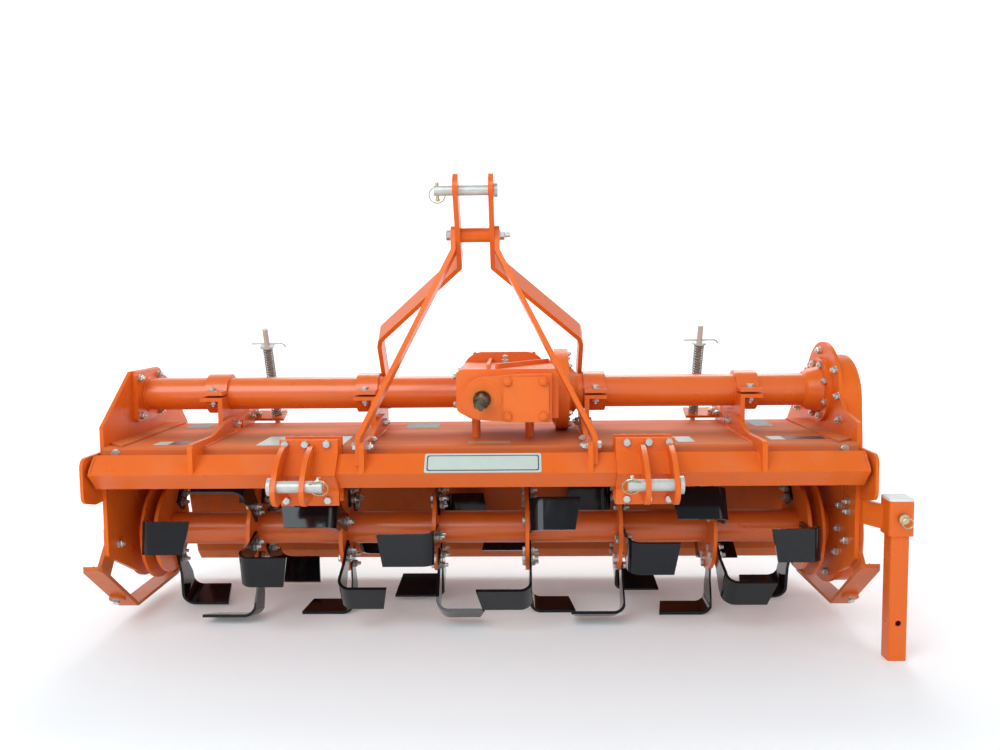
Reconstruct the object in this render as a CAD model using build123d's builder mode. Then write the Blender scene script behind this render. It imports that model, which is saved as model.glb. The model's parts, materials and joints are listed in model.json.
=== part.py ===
"""Tractor-mounted rotary tiller (rotavator), 1.75 m working width, side gear drive.

Millimetres. X runs across the machine (to its right as seen from the tractor's side), Y runs
backwards, away from the tractor, and Z up from the ground. Heights are measured from the ground.
All distances below are taken from the mid-plane and from the rotor's axis; MID_X and AXLE_Y then
shift the whole machine so that its origin is the bottom centre of its bounding box.
"""
from build123d import *
from math import asin, atan2, cos, hypot, radians, sin, sqrt, tan
import os

os.makedirs("parts", exist_ok=True)

# ---------------------------------------------------------------- driving sizes
# rotor
TIP_R = 246.0            # blade tips
AXLE_Z = TIP_R           # the blades stand on the ground
STATION_PITCH = 250.0
STATIONS = 8
FLANGE_R = 120.0
FLANGE_T = 10.0
TUBE_R = 44.45           # the rotor tube and the top tube are the same pipe
TUBE_WALL = 6.0
STUB_R = 28.0            # stub axles
STUB_LENGTH = 45.0
BLADE_T = 8.0
BLADE_REACH = 135.0      # from the flange's middle to the wing's free end
BLADE_WIDTH = 84.0       # along the direction of travel
SHANK_WIDTH = 48.0
SHANK_ROOT_R = 66.0
BLADE_BEND_R = 26.0
BLADE_SLANT = 15.0       # the wing's free end gives way towards its leading edge

# side plates and what is between them
SIDE_X = 944.0           # inner face of the side plates
SIDE_T = 10.0
PLATE_FRONT_Y = 3.0 - TIP_R
CHEEK_T = 8.0
HOOD_CLEARANCE = 19.0    # over the blade tips
DECK_Z = AXLE_Z + TIP_R + HOOD_CLEARANCE    # underside of the top plate
DECK_T = 5.0
LIP_DROP = 36.0
EDGE_STRIP = 48.0        # width of the strips along the deck's ends
SKIRT_Y = TIP_R - 24.0   # outer face of the rear skirt
SKIRT_BEND = 25.0
SKIRT_FOOT_Z = DECK_Z - 96.0
PLATE_REAR_Y = SKIRT_Y + 108.0

# front beam, a square tube set on its edge
BEAM_SIDE = 60.0
BEAM_WALL = 6.0
BEAM_RIDGE_Y = -337.0
BEAM_Z = DECK_Z - 49.0

# top tube, clamps and gussets
TOP_TUBE_Y = 22.0
TOP_TUBE_Z = DECK_Z + 112.5
CLAMP_X = (728.0, 312.0)
CLAMP_WIDTH = 60.0
CLAMP_T = 10.0
EAR_LENGTH = 38.0
CLAMP_GAP = 6.0
WEB_T = 12.0
GUSSET_T = 12.0

# gearbox
PTO_X = 13.0
PTO_Z = TOP_TUBE_Z + 7.5
BOX_X0, BOX_X1 = -54.0, 205.0
BOX_Z0, BOX_Z1 = TOP_TUBE_Z - 46.5, TOP_TUBE_Z + 79.5
BOX_FRONT_Y = -235.0
BOX_REAR_Y = 68.0
SNOUT_DEPTH = 32.0       # the front of the box steps down to the snout that carries the shaft
SNOUT_X1 = 187.0
SNOUT_Z0, SNOUT_Z1 = BOX_Z0 - 6.0, BOX_Z1 - 11.0
LOBE_R = 55.0
BOX_FOOT_X = (-9.0, 133.0)
BOX_FOOT_Y = -102.0
BOX_FOOT_R = 11.5
DRIVE_FLANGE_R = 112.0
DRIVE_FLANGE_T = 17.0
ADAPTER_FLANGE_T = 18.0
ADAPTER_CONE = 26.0
ADAPTER_COLLAR = 14.0
SHAFT_R = 17.45
SHAFT_COLLAR_R = 22.0
SHAFT_END_Y = -345.0
SPLINES = 6
SPLINE_LENGTH = 76.0

# side gear case
CASE_DEPTH = 54.0
CASE_TOP_R = 120.0
CASE_TOP_Y, CASE_TOP_Z = 5.0, TOP_TUBE_Z - 23.5
CASE_FOOT_R = 150.0

# lower hitch
HITCH_X = 435.0
HITCH_PIN_Y, HITCH_PIN_Z = -406.0, BEAM_Z - 16.0
HITCH_PIN_R = 14.2
HITCH_GAP = 55.0
EAR_NOSE = 26.0          # from the pin forward to the ear's edge
EAR_T = 12.0
BRACKET_T = 12.0
BRACKET_WIDTH = 143.0
BRACKET_OFFSET = 25.0    # the bracket sits this much nearer the middle than the pin's span
BRACKET_TOP_Z, BRACKET_FOOT_Z = BEAM_Z + 79.0, BEAM_Z - 84.0

# mast
MAST_HEIGHT = 692.0      # from the lower pins up to the top pin
TOP_PIN_Y, TOP_PIN_Z = -305.0, HITCH_PIN_Z + MAST_HEIGHT
TOP_PIN_R = 12.5
MAST_BAR_T = 12.0
MAST_BAR_WIDTH = 60.0
MAST_CLEARANCE = 5.75    # between the bars and the top tube that they pass behind
MAST_FOOT_Z = DECK_Z + 71.6
MAST_HALF_GAP = 36.0     # inside face of each ear
SPACER_DOWN = 130.0      # from the top pin down to the spacer, along the bars
SPACER_R = 18.0
BRACE_T = 12.0
BRACE_WIDTH = 50.0
BRACE_FOOT_Y = -290.0

# skids
SKID_X = 944.0           # inner edge of each runner
SKID_WIDTH = 52.0
SKID_T = 10.0
SOLE_Z = 50.0            # the tips reach this far below the runners
SKID_FRONT_Y, SKID_FRONT_Z = -290.0, SOLE_Z + 162.0
RAMP_FOOT_Y = -86.0
SKID_REAR_Y, SKID_REAR_Z = 262.0, SOLE_Z + 60.0
SKID_TIP_R = 18.0
STRUT_TOP_Z = AXLE_Z + 54.0
PAD_Y = -140.0
PAD_R = 21.0
PAD_T = 8.0

# parking stand
STAND_X = 1012.0
STAND_Y = -327.0
LEG_SIDE = 45.0
LEG_WALL = 4.0
LEG_TOP_Z = BEAM_Z - 70.0
SOCKET_WALL = 7.0
SOCKET_CLEARANCE = 0.5
SOCKET_HEIGHT = 84.0
LOCK_PIN_Z = LEG_TOP_Z - 40.0
LOCK_HOLE_PITCH = 259.0
LOCK_PIN_R = 7.0

# levelling board at the rear and its spring rods
HINGE_Y, HINGE_Z = SKIRT_Y + 16.0, SKIRT_FOOT_Z - 13.0
HINGE_ROD_R = 7.0
KNUCKLE_R = 12.0
BOARD_T = 5.0
BOARD_FOOT_Y, BOARD_FOOT_Z = TIP_R + 84.0, 70.0
BOARD_LIP = 22.0
ROD_X = 630.0
ROD_R = 8.0
EYE_Y, EYE_Z = BOARD_FOOT_Y + 6.0, HINGE_Z - 152.0
EYE_R = 15.0
EYE_WIDTH = 18.0
EYE_PIN_R = 6.0
GUIDE_Y, GUIDE_Z = SKIRT_Y + 4.0, DECK_Z + 23.0
ROD_TOP_Z = GUIDE_Z + 266.0
WASHER_DOWN = 53.0       # from the rod's top down to its washer
SPRING_R = 15.0
SPRING_WIRE = 4.0
FIT = 0.3                # clearance of fixed pins in their holes
RUN_FIT = 0.08           # clearance of a turning shaft in its bore

# what follows from the driving sizes
BEAM_HALF = BEAM_SIDE / sqrt(2)     # half the beam's diagonal
BEAM_Y = BEAM_RIDGE_Y + BEAM_HALF
DECK_TOP = DECK_Z + DECK_T
ROTOR_HALF = STATION_PITCH * (STATIONS - 1) / 2
BOARD_HALF = SIDE_X - 19.0

# reach of the whole machine, which places its origin
RIGHT_REACH = STAND_X + LEG_SIDE / 2 + SOCKET_CLEARANCE + SOCKET_WALL
LEFT_REACH = SKID_X + SKID_WIDTH
FRONT_REACH = EAR_NOSE - HITCH_PIN_Y
REAR_REACH = BOARD_FOOT_Y + BOARD_LIP + 4
MID_X = (LEFT_REACH - RIGHT_REACH) / 2
AXLE_Y = (FRONT_REACH - REAR_REACH) / 2

SIDES = (("left", -1), ("right", 1))


# ---------------------------------------------------------------- planes and profiles
def side_view(x):
    """Plane across the machine at x: its coordinates are Y and Z, and it faces +X."""
    return Plane(origin=(MID_X + x, AXLE_Y, 0), x_dir=(0, 1, 0), z_dir=(1, 0, 0))


def front_view(y):
    """Upright plane at y: its coordinates are X and Z, and it faces the tractor."""
    return Plane(origin=(MID_X, AXLE_Y + y, 0), x_dir=(1, 0, 0), z_dir=(0, -1, 0))


def plan_view(z):
    """Level plane at height z: its coordinates are X and Y."""
    return Plane(origin=(MID_X, AXLE_Y, z))


def slab(side, near, thickness):
    """Side-view plane of a plate on one side of the machine, `near` from the mid-plane."""
    return side_view(side * near if side > 0 else -near - thickness)


def bent_strip(points, radius, thickness, side=Side.LEFT):
    """Section of a flat bar bent along `points`, its thickness laid to one side of them."""
    with BuildLine() as path:
        FilletPolyline(*points, radius=radius)
        offset(amount=thickness, side=side)
    make_face(path.edges())


def save(builder, label):
    """Label a finished piece and write its STEP file."""
    builder.part.label = label
    export_step(builder.part, f"parts/{label}.step")


# ---------------------------------------------------------------- rotor
with BuildPart() as rotor_tube:
    tube_half = ROTOR_HALF + FLANGE_T / 2 + 5
    with BuildSketch(side_view(-tube_half)):
        with Locations((0, AXLE_Z)):
            Circle(TUBE_R)
            Circle(TUBE_R - TUBE_WALL, mode=Mode.SUBTRACT)
    extrude(amount=2 * tube_half)
    for near in (-tube_half - STUB_LENGTH, tube_half - FLANGE_T):
        with BuildSketch(side_view(near)):
            with Locations((0, AXLE_Z)):
                Circle(STUB_R)
        extrude(amount=STUB_LENGTH + FLANGE_T)
    for near in (-tube_half, tube_half - FLANGE_T):
        with BuildSketch(side_view(near)):
            with Locations((0, AXLE_Z)):
                Circle(TUBE_R - TUBE_WALL)
        extrude(amount=FLANGE_T)
save(rotor_tube, "rotor_tube")


def blade(hand):
    """One L-shaped blade in its own frame: X along the rotor, Y outwards, Z along its travel."""
    near = FLANGE_T / 2 + BLADE_T if hand > 0 else FLANGE_T / 2
    reach = BLADE_REACH if hand > 0 else -BLADE_REACH
    wing_r = sqrt(TIP_R ** 2 - (BLADE_WIDTH / 2) ** 2)
    with BuildPart() as body:
        with BuildSketch(Plane.XY.offset(-BLADE_WIDTH / 2)):
            bent_strip(
                [(near, SHANK_ROOT_R), (near, wing_r - BLADE_T), (reach, wing_r - BLADE_T)],
                BLADE_BEND_R, BLADE_T, Side.LEFT if hand > 0 else Side.RIGHT)
        extrude(amount=BLADE_WIDTH)
        # seen along the rotor: a narrow root that flares to the wing
        with BuildSketch(Plane.YZ.offset(-2 * BLADE_REACH)):
            with BuildLine():
                Polyline(
                    (SHANK_ROOT_R, -SHANK_WIDTH / 2), (wing_r * 0.6, -SHANK_WIDTH / 2),
                    (wing_r * 0.84, -BLADE_WIDTH / 2), (wing_r, -BLADE_WIDTH / 2),
                    (wing_r, BLADE_WIDTH / 2), (wing_r * 0.76, BLADE_WIDTH / 2),
                    (wing_r * 0.55, SHANK_WIDTH / 2), (SHANK_ROOT_R, SHANK_WIDTH / 2),
                    close=True)
            make_face()
        extrude(amount=4 * BLADE_REACH, mode=Mode.INTERSECT)
        # seen from outside: the free end is cut on a slant
        back = -2 * near if hand > 0 else 2 * near
        with BuildSketch(Plane.XZ):
            with BuildLine():
                Polyline(
                    (back, BLADE_WIDTH / 2), (reach - hand * BLADE_SLANT, BLADE_WIDTH / 2),
                    (reach, -BLADE_WIDTH / 2), (back, -BLADE_WIDTH / 2), close=True)
            make_face()
        extrude(amount=-2 * TIP_R, mode=Mode.INTERSECT)
    return body.part


BLADES = {1: blade(1), -1: blade(-1)}
INNER_BLADE = mirror(BLADES[1], about=Plane.YZ)

# station, angle of its first right-hand blade above straight ahead, hands of its blades
STATION_TABLE = (
    (1, 8, (1,)),
    (2, -14, (1, -1)),
    (3, -36, (1, -1)),
    (4, -60, (1, -1)),
    (5, 22, (1, -1)),
    (6, -6, (1, -1)),
    (7, -32, (1, -1)),
    (8, -58, (-1,)),
)
for station, first_angle, hands in STATION_TABLE:
    middle = (station - (STATIONS + 1) / 2) * STATION_PITCH
    with BuildPart() as rotor_station:
        with BuildSketch(side_view(middle - FLANGE_T / 2)):
            with Locations((0, AXLE_Z)):
                Circle(FLANGE_R)
                Circle(TUBE_R, mode=Mode.SUBTRACT)
        extrude(amount=FLANGE_T)
        for hand in hands:
            for step in range(3):
                angle = radians(first_angle + (0 if hand > 0 else 60) + 120 * step)
                seat = Plane(
                    origin=(MID_X + middle, AXLE_Y, AXLE_Z), x_dir=(1, 0, 0),
                    z_dir=(0, -sin(angle), -cos(angle)))
                with Locations(seat.location):
                    # the last flange carries its blades on its inner face
                    add(INNER_BLADE if station == STATIONS else BLADES[hand])
    save(rotor_station, f"rotor_station_{station}")

GUARD_T = 8.0
GUARD_X = tube_half + 17
with BuildPart() as bearing_housings:
    for label, side in SIDES:
        with BuildSketch(slab(side, GUARD_X, GUARD_T)):
            with Locations((0, AXLE_Z)):
                Circle(FLANGE_R + 15)
                Circle(STUB_R + RUN_FIT, mode=Mode.SUBTRACT)
        extrude(amount=GUARD_T)
        with BuildSketch(slab(side, GUARD_X + GUARD_T, SIDE_X - GUARD_X - GUARD_T)):
            with Locations((0, AXLE_Z)):
                Circle(60)
                Circle(STUB_R + RUN_FIT, mode=Mode.SUBTRACT)
        extrude(amount=SIDE_X - GUARD_X - GUARD_T)
save(bearing_housings, "bearing_housings")

# ---------------------------------------------------------------- side plates
PLATE_REAR = (
    (TOP_TUBE_Y + 162, TOP_TUBE_Z + 31), (PLATE_REAR_Y, DECK_Z - 7),
    (PLATE_REAR_Y - 12, AXLE_Z + 84), (PLATE_REAR_Y - 115, AXLE_Z - 41))
with BuildPart() as side_plate_left:
    with BuildSketch(slab(-1, SIDE_X, SIDE_T)):
        with BuildLine():
            Polyline(
                (-80, AXLE_Z - 98), (PLATE_FRONT_Y + 35, AXLE_Z - 31), (PLATE_FRONT_Y, AXLE_Z - 11),
                (PLATE_FRONT_Y, DECK_Z + 55), (TOP_TUBE_Y - 87, TOP_TUBE_Z + 70),
                (TOP_TUBE_Y + 91, TOP_TUBE_Z + 70), *PLATE_REAR, (96, AXLE_Z - 84))
            ThreePointArc((96, AXLE_Z - 84), (8, AXLE_Z - 130), (-80, AXLE_Z - 98))
        make_face()
    extrude(amount=SIDE_T)
save(side_plate_left, "side_plate_left")

with BuildPart() as side_plate_right:
    with BuildSketch(slab(1, SIDE_X, SIDE_T)):
        with BuildLine():
            Polyline(
                (-118, AXLE_Z - 98), (PLATE_FRONT_Y + 48, AXLE_Z - 61), (PLATE_FRONT_Y, AXLE_Z - 26),
                (PLATE_FRONT_Y, DECK_Z + 55), (TOP_TUBE_Y - 172, DECK_Z + 73),
                (TOP_TUBE_Y - 134, TOP_TUBE_Z - 5), (TOP_TUBE_Y + 118, TOP_TUBE_Z + 66),
                *PLATE_REAR, (118, AXLE_Z - 98))
            ThreePointArc((118, AXLE_Z - 98), (0, AXLE_Z - 154), (-118, AXLE_Z - 98))
        make_face()
        with Locations((TOP_TUBE_Y, TOP_TUBE_Z - 5)):
            Circle(136)
    extrude(amount=SIDE_T)
save(side_plate_right, "side_plate_right")

with BuildPart() as gear_case:
    with BuildSketch(slab(1, SIDE_X + SIDE_T, CASE_DEPTH)):
        with Locations((CASE_TOP_Y, CASE_TOP_Z)):
            Circle(CASE_TOP_R)
        with Locations((0, AXLE_Z)):
            Circle(CASE_FOOT_R)
        make_hull()
    extrude(amount=CASE_DEPTH)
    fillet(gear_case.faces().sort_by(Axis.X)[-1].edges(), 14)
save(gear_case, "gear_case")

with BuildPart() as cheek_plates:
    cheek_nose = BEAM_RIDGE_Y - 2
    cheek_rear = PLATE_FRONT_Y + 40
    cheek_top = BEAM_Z + BEAM_HALF - 2
    cheek_foot = BEAM_Z - 2 * BEAM_HALF
    for label, side in SIDES:
        with BuildSketch(slab(side, SIDE_X + SIDE_T, CHEEK_T)):
            with BuildLine():
                FilletPolyline(
                    (cheek_rear, cheek_top), (cheek_nose, cheek_top), (cheek_nose, cheek_foot + 16),
                    (cheek_nose + 60, cheek_foot), (cheek_rear, cheek_foot),
                    radius=24)
                Line((cheek_rear, cheek_foot), (cheek_rear, cheek_top))
            make_face()
        extrude(amount=CHEEK_T)
save(cheek_plates, "cheek_plates")

# ---------------------------------------------------------------- beam, deck and skirt
BRACKET_X = HITCH_X - BRACKET_OFFSET
with BuildPart() as front_beam:
    beam_half = SIDE_X
    with BuildSketch(side_view(-beam_half)):
        with Locations(Location((BEAM_Y, BEAM_Z), 45)):
            Rectangle(BEAM_SIDE, BEAM_SIDE)
            Rectangle(BEAM_SIDE - 2 * BEAM_WALL, BEAM_SIDE - 2 * BEAM_WALL, mode=Mode.SUBTRACT)
    extrude(amount=2 * beam_half)
save(front_beam, "front_beam")

BACK_PLATE_T = 10.0
LIP_Y = BEAM_Y + BEAM_HALF
DECK_REAR_Y = SKIRT_Y - SKIRT_BEND - 10
with BuildPart() as deck:
    with BuildSketch(side_view(-SIDE_X)):
        bent_strip(
            [(LIP_Y, DECK_TOP - LIP_DROP), (LIP_Y, DECK_TOP), (DECK_REAR_Y, DECK_TOP)],
            8, DECK_T, Side.RIGHT)
    extrude(amount=2 * SIDE_X)
    # notches for the back plates of the lower hitch
    with BuildSketch(plan_view(DECK_TOP - LIP_DROP - 1)):
        with Locations(*[(side * BRACKET_X, LIP_Y + BACK_PLATE_T / 2) for _, side in SIDES]):
            Rectangle(BRACKET_WIDTH + 2, BACK_PLATE_T + 2)
    extrude(amount=LIP_DROP + 2, mode=Mode.SUBTRACT)
    # stiffening strips along the side plates, their front corners cut back
    with BuildSketch(plan_view(DECK_TOP)):
        for label, side in SIDES:
            with BuildLine():
                Polyline(
                    (side * SIDE_X, LIP_Y + EDGE_STRIP), (side * (SIDE_X - EDGE_STRIP), LIP_Y + 6),
                    (side * (SIDE_X - EDGE_STRIP), DECK_REAR_Y), (side * SIDE_X, DECK_REAR_Y),
                    close=True)
            make_face()
    extrude(amount=DECK_T)
save(deck, "deck")

with BuildPart() as rear_skirt:
    with BuildSketch(side_view(-SIDE_X)):
        bent_strip(
            [(DECK_REAR_Y, DECK_TOP), (SKIRT_Y, DECK_TOP), (SKIRT_Y, SKIRT_FOOT_Z)],
            SKIRT_BEND, DECK_T, Side.RIGHT)
    extrude(amount=2 * SIDE_X)
save(rear_skirt, "rear_skirt")

# ---------------------------------------------------------------- gearbox
COVER_X = 123.0
COVER_SIDE = 113.0
COVER_Z = (SNOUT_Z0 + SNOUT_Z1) / 2 - 2
FLANGE_Z = TOP_TUBE_Z + 6
NECK_X0 = BOX_X1 - 20.0
with BuildPart() as gearbox_housing:
    with BuildSketch(front_view(BOX_REAR_Y)):
        with BuildLine():
            FilletPolyline(
                (BOX_X1, BOX_Z1), (BOX_X0, BOX_Z1), (BOX_X0, BOX_Z0 + 20), (BOX_X0 + 36, BOX_Z0),
                (BOX_X1, BOX_Z0), radius=18)
            Line((BOX_X1, BOX_Z0), (BOX_X1, BOX_Z1))
        make_face()
    extrude(amount=BOX_REAR_Y - BOX_FRONT_Y - SNOUT_DEPTH)
    # the snout: a round lobe about the input shaft that runs out into a square front
    with BuildSketch(front_view(BOX_FRONT_Y + SNOUT_DEPTH)):
        with Locations((PTO_X + 5, PTO_Z)):
            Circle(LOBE_R)
        with Locations(((COVER_X + SNOUT_X1) / 2, (SNOUT_Z0 + SNOUT_Z1) / 2)):
            Rectangle(SNOUT_X1 - COVER_X, SNOUT_Z1 - SNOUT_Z0)
        make_hull()
    extrude(amount=SNOUT_DEPTH)
    # neck that widens to the right-hand flange
    with BuildSketch(side_view(NECK_X0)):
        with Locations((TOP_TUBE_Y, FLANGE_Z)):
            Circle(DRIVE_FLANGE_R - 40)
    with BuildSketch(side_view(BOX_X1)):
        with Locations((TOP_TUBE_Y, FLANGE_Z)):
            Circle(DRIVE_FLANGE_R - 10)
    loft()
    with BuildSketch(side_view(BOX_X1)):
        with Locations((TOP_TUBE_Y, FLANGE_Z)):
            Circle(DRIVE_FLANGE_R)
    extrude(amount=DRIVE_FLANGE_T)
    # two ribs on the roof: one straight back, one on a slant
    with BuildSketch(plan_view(BOX_Z1 - 4)):
        with BuildLine():
            Line((PTO_X + 14, BOX_FRONT_Y + SNOUT_DEPTH + 8), (PTO_X + 14, BOX_REAR_Y - 8))
            offset(amount=4, side=Side.BOTH)
        make_face()
        with BuildLine():
            Line((PTO_X + 36, BOX_FRONT_Y + SNOUT_DEPTH + 24), (NECK_X0, BOX_REAR_Y - 60))
            offset(amount=4, side=Side.BOTH)
        make_face()
    extrude(amount=16)
    # two round feet on the deck
    with BuildSketch(plan_view(DECK_TOP)):
        with Locations(*[(x, BOX_FOOT_Y) for x in BOX_FOOT_X]):
            Circle(BOX_FOOT_R)
    extrude(amount=BOX_Z0 + 10 - DECK_TOP)
    # stepped boss of the input shaft, and its bore
    for boss_r, height in ((LOBE_R - 8, 3), (LOBE_R - 16, 6)):
        with BuildSketch(front_view(BOX_FRONT_Y)):
            with Locations((PTO_X, PTO_Z)):
                Circle(boss_r)
        extrude(amount=height)
    with BuildSketch(front_view(BOX_FRONT_Y - 6)):
        with Locations((PTO_X, PTO_Z)):
            Circle(SHAFT_R + RUN_FIT)
    extrude(amount=-90, mode=Mode.SUBTRACT)
save(gearbox_housing, "gearbox_housing")

with BuildPart() as gearbox_front_cover:
    with BuildSketch(front_view(BOX_FRONT_Y)):
        with Locations((COVER_X, COVER_Z)):
            RectangleRounded(COVER_SIDE, COVER_SIDE, 8)
    extrude(amount=8)
save(gearbox_front_cover, "gearbox_front_cover")

# the rear cover: a rim and the shallow dome that it carries
REAR_RIM_T = 12.0
REAR_DOME = 30.0
with BuildPart() as gearbox_rear_cover:
    rear_cover_place = (PTO_X + 52, (BOX_Z0 + BOX_Z1) / 2 + 14)
    with BuildSketch(front_view(BOX_REAR_Y)):
        with Locations(rear_cover_place):
            RectangleRounded(240, 154, 60)
    extrude(amount=-REAR_RIM_T)
    with BuildSketch(front_view(BOX_REAR_Y + REAR_RIM_T)):
        with Locations(rear_cover_place):
            RectangleRounded(216, 130, 48)
    extrude(amount=-REAR_DOME, taper=20)
save(gearbox_rear_cover, "gearbox_rear_cover")

ADAPTER_X = BOX_X1 + DRIVE_FLANGE_T
with BuildPart() as tube_adapter:
    with BuildSketch(side_view(ADAPTER_X)):
        with Locations((TOP_TUBE_Y, FLANGE_Z)):
            Circle(DRIVE_FLANGE_R)
    extrude(amount=ADAPTER_FLANGE_T)
    cone_x = ADAPTER_X + ADAPTER_FLANGE_T
    with BuildSketch(side_view(cone_x)):
        with Locations((TOP_TUBE_Y, TOP_TUBE_Z)):
            Circle(78)
    with BuildSketch(side_view(cone_x + ADAPTER_CONE)):
        with Locations((TOP_TUBE_Y, TOP_TUBE_Z)):
            Circle(TUBE_R + 4)
    loft()
    with BuildSketch(side_view(cone_x + ADAPTER_CONE)):
        with Locations((TOP_TUBE_Y, TOP_TUBE_Z)):
            Circle(TUBE_R + 4)
    extrude(amount=ADAPTER_COLLAR)
    with BuildSketch(side_view(cone_x)):
        with Locations((TOP_TUBE_Y, TOP_TUBE_Z)):
            Circle(TUBE_R)
    extrude(amount=ADAPTER_CONE + ADAPTER_COLLAR, mode=Mode.SUBTRACT)
save(tube_adapter, "tube_adapter")

SHAFT_SEAT = 70.0
SHAFT_LENGTH_OUT = BOX_FRONT_Y - SHAFT_END_Y
with BuildPart() as pto_shaft:
    shaft_length = SHAFT_LENGTH_OUT + SHAFT_SEAT
    with BuildSketch(front_view(BOX_FRONT_Y + SHAFT_SEAT)):
        with Locations((PTO_X, PTO_Z)):
            Circle(SHAFT_R)
    extrude(amount=shaft_length)
    # shoulder in front of the seal
    with BuildSketch(front_view(BOX_FRONT_Y - 7)):
        with Locations((PTO_X, PTO_Z)):
            Circle(SHAFT_COLLAR_R)
    extrude(amount=SHAFT_LENGTH_OUT - SPLINE_LENGTH - 13)
    # grooves between the splines
    with BuildSketch(front_view(SHAFT_END_Y)):
        with Locations((PTO_X, PTO_Z)):
            with PolarLocations(SHAFT_R, SPLINES):
                Rectangle(6, 8.6)
    extrude(amount=-SPLINE_LENGTH, mode=Mode.SUBTRACT)
    # groove for the yoke's lock
    with BuildSketch(front_view(SHAFT_END_Y + 26)):
        with Locations((PTO_X, PTO_Z)):
            Circle(SHAFT_R + 1)
            Circle(SHAFT_R - 2.6, mode=Mode.SUBTRACT)
    extrude(amount=-8, mode=Mode.SUBTRACT)
save(pto_shaft, "pto_shaft")

# ---------------------------------------------------------------- top tubes and their flanges
TUBE_FLANGE_T = 12.0
tube_end = SIDE_X - TUBE_FLANGE_T
# piece, where it starts, where it ends
for label, start, end in (
    ("main_tube_left", -tube_end, BOX_X0),
    ("main_tube_right", ADAPTER_X + ADAPTER_FLANGE_T, tube_end),
):
    with BuildPart() as main_tube:
        with BuildSketch(side_view(start)):
            with Locations((TOP_TUBE_Y, TOP_TUBE_Z)):
                Circle(TUBE_R)
                Circle(TUBE_R - TUBE_WALL, mode=Mode.SUBTRACT)
        extrude(amount=end - start)
    save(main_tube, label)

with BuildPart() as tube_flanges:
    with BuildSketch(slab(-1, tube_end, TUBE_FLANGE_T)):
        with Locations((TOP_TUBE_Y, TOP_TUBE_Z)):
            RectangleRounded(166, 138, 12)
    extrude(amount=TUBE_FLANGE_T)
    with BuildSketch(slab(1, tube_end, TUBE_FLANGE_T)):
        with Locations((TOP_TUBE_Y, TOP_TUBE_Z)):
            Circle(88)
    extrude(amount=TUBE_FLANGE_T)
    with BuildSketch(slab(1, tube_end - 34, 34)):
        with Locations((TOP_TUBE_Y, TOP_TUBE_Z)):
            Circle(TUBE_R + 9)
            Circle(TUBE_R, mode=Mode.SUBTRACT)
    extrude(amount=34)
save(tube_flanges, "tube_flanges")

# ---------------------------------------------------------------- clamps, webs and gussets
CLAMP_R = TUBE_R + CLAMP_T
EAR_END = CLAMP_R + EAR_LENGTH
CLAMP_PLACES = [(side, x) for _, side in SIDES for x in CLAMP_X]

with BuildPart() as clamp_straps:
    for side, x in CLAMP_PLACES:
        with BuildSketch(slab(side, x - CLAMP_WIDTH / 2, CLAMP_WIDTH)):
            with Locations((TOP_TUBE_Y, TOP_TUBE_Z)):
                Circle(CLAMP_R)
                with Locations((0, CLAMP_GAP / 2 + CLAMP_T / 2)):
                    Rectangle(2 * EAR_END, CLAMP_T)
                Circle(TUBE_R, mode=Mode.SUBTRACT)
                with Locations((0, CLAMP_GAP / 2 - CLAMP_R)):
                    Rectangle(2 * EAR_END, 2 * CLAMP_R, mode=Mode.SUBTRACT)
        extrude(amount=CLAMP_WIDTH)
save(clamp_straps, "clamp_straps")

WEB_FRONT_Y = -70.0
WEB_REAR_Y = 172.0
with BuildPart() as clamp_saddles:
    for side, x in CLAMP_PLACES:
        inboard = x - CLAMP_WIDTH / 2
        with BuildSketch(slab(side, inboard, CLAMP_WIDTH)):
            with Locations((TOP_TUBE_Y, TOP_TUBE_Z)):
                Circle(CLAMP_R)
                with Locations((0, -CLAMP_GAP / 2 - CLAMP_T / 2)):
                    Rectangle(2 * EAR_END, CLAMP_T)
                Circle(TUBE_R, mode=Mode.SUBTRACT)
                with Locations((0, CLAMP_R - CLAMP_GAP / 2)):
                    Rectangle(2 * EAR_END, 2 * CLAMP_R, mode=Mode.SUBTRACT)
        extrude(amount=CLAMP_WIDTH)
        web_top = TOP_TUBE_Z - CLAMP_GAP / 2 - CLAMP_T
        with BuildSketch(slab(side, inboard, WEB_T)):
            with Locations(((WEB_FRONT_Y + WEB_REAR_Y) / 2, (web_top + DECK_TOP) / 2)):
                Rectangle(WEB_REAR_Y - WEB_FRONT_Y, web_top - DECK_TOP)
            with Locations((TOP_TUBE_Y, TOP_TUBE_Z)):
                Circle(TUBE_R, mode=Mode.SUBTRACT)
        extrude(amount=WEB_T)
save(clamp_saddles, "clamp_saddles")

with BuildPart() as gusset_plates:
    for side, x in CLAMP_PLACES:
        near = x - CLAMP_WIDTH / 2 - GUSSET_T
        with BuildSketch(slab(side, near, GUSSET_T)):
            with BuildLine():
                FilletPolyline(
                    (BEAM_RIDGE_Y, BEAM_Z), (BEAM_RIDGE_Y, DECK_TOP + 20), (-180, DECK_TOP + 17),
                    (-45, DECK_TOP + 46), (TOP_TUBE_Y + 10, DECK_TOP + 46), radius=14)
                Polyline(
                    (TOP_TUBE_Y + 10, DECK_TOP + 46), (TOP_TUBE_Y + 32, DECK_TOP),
                    (LIP_Y, DECK_TOP), (LIP_Y, BEAM_Z), (BEAM_RIDGE_Y, BEAM_Z))
            make_face()
            with Locations(Location((BEAM_Y, BEAM_Z), 45)):
                Rectangle(BEAM_SIDE, BEAM_SIDE, mode=Mode.SUBTRACT)
        extrude(amount=GUSSET_T)
save(gusset_plates, "gusset_plates")

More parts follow.
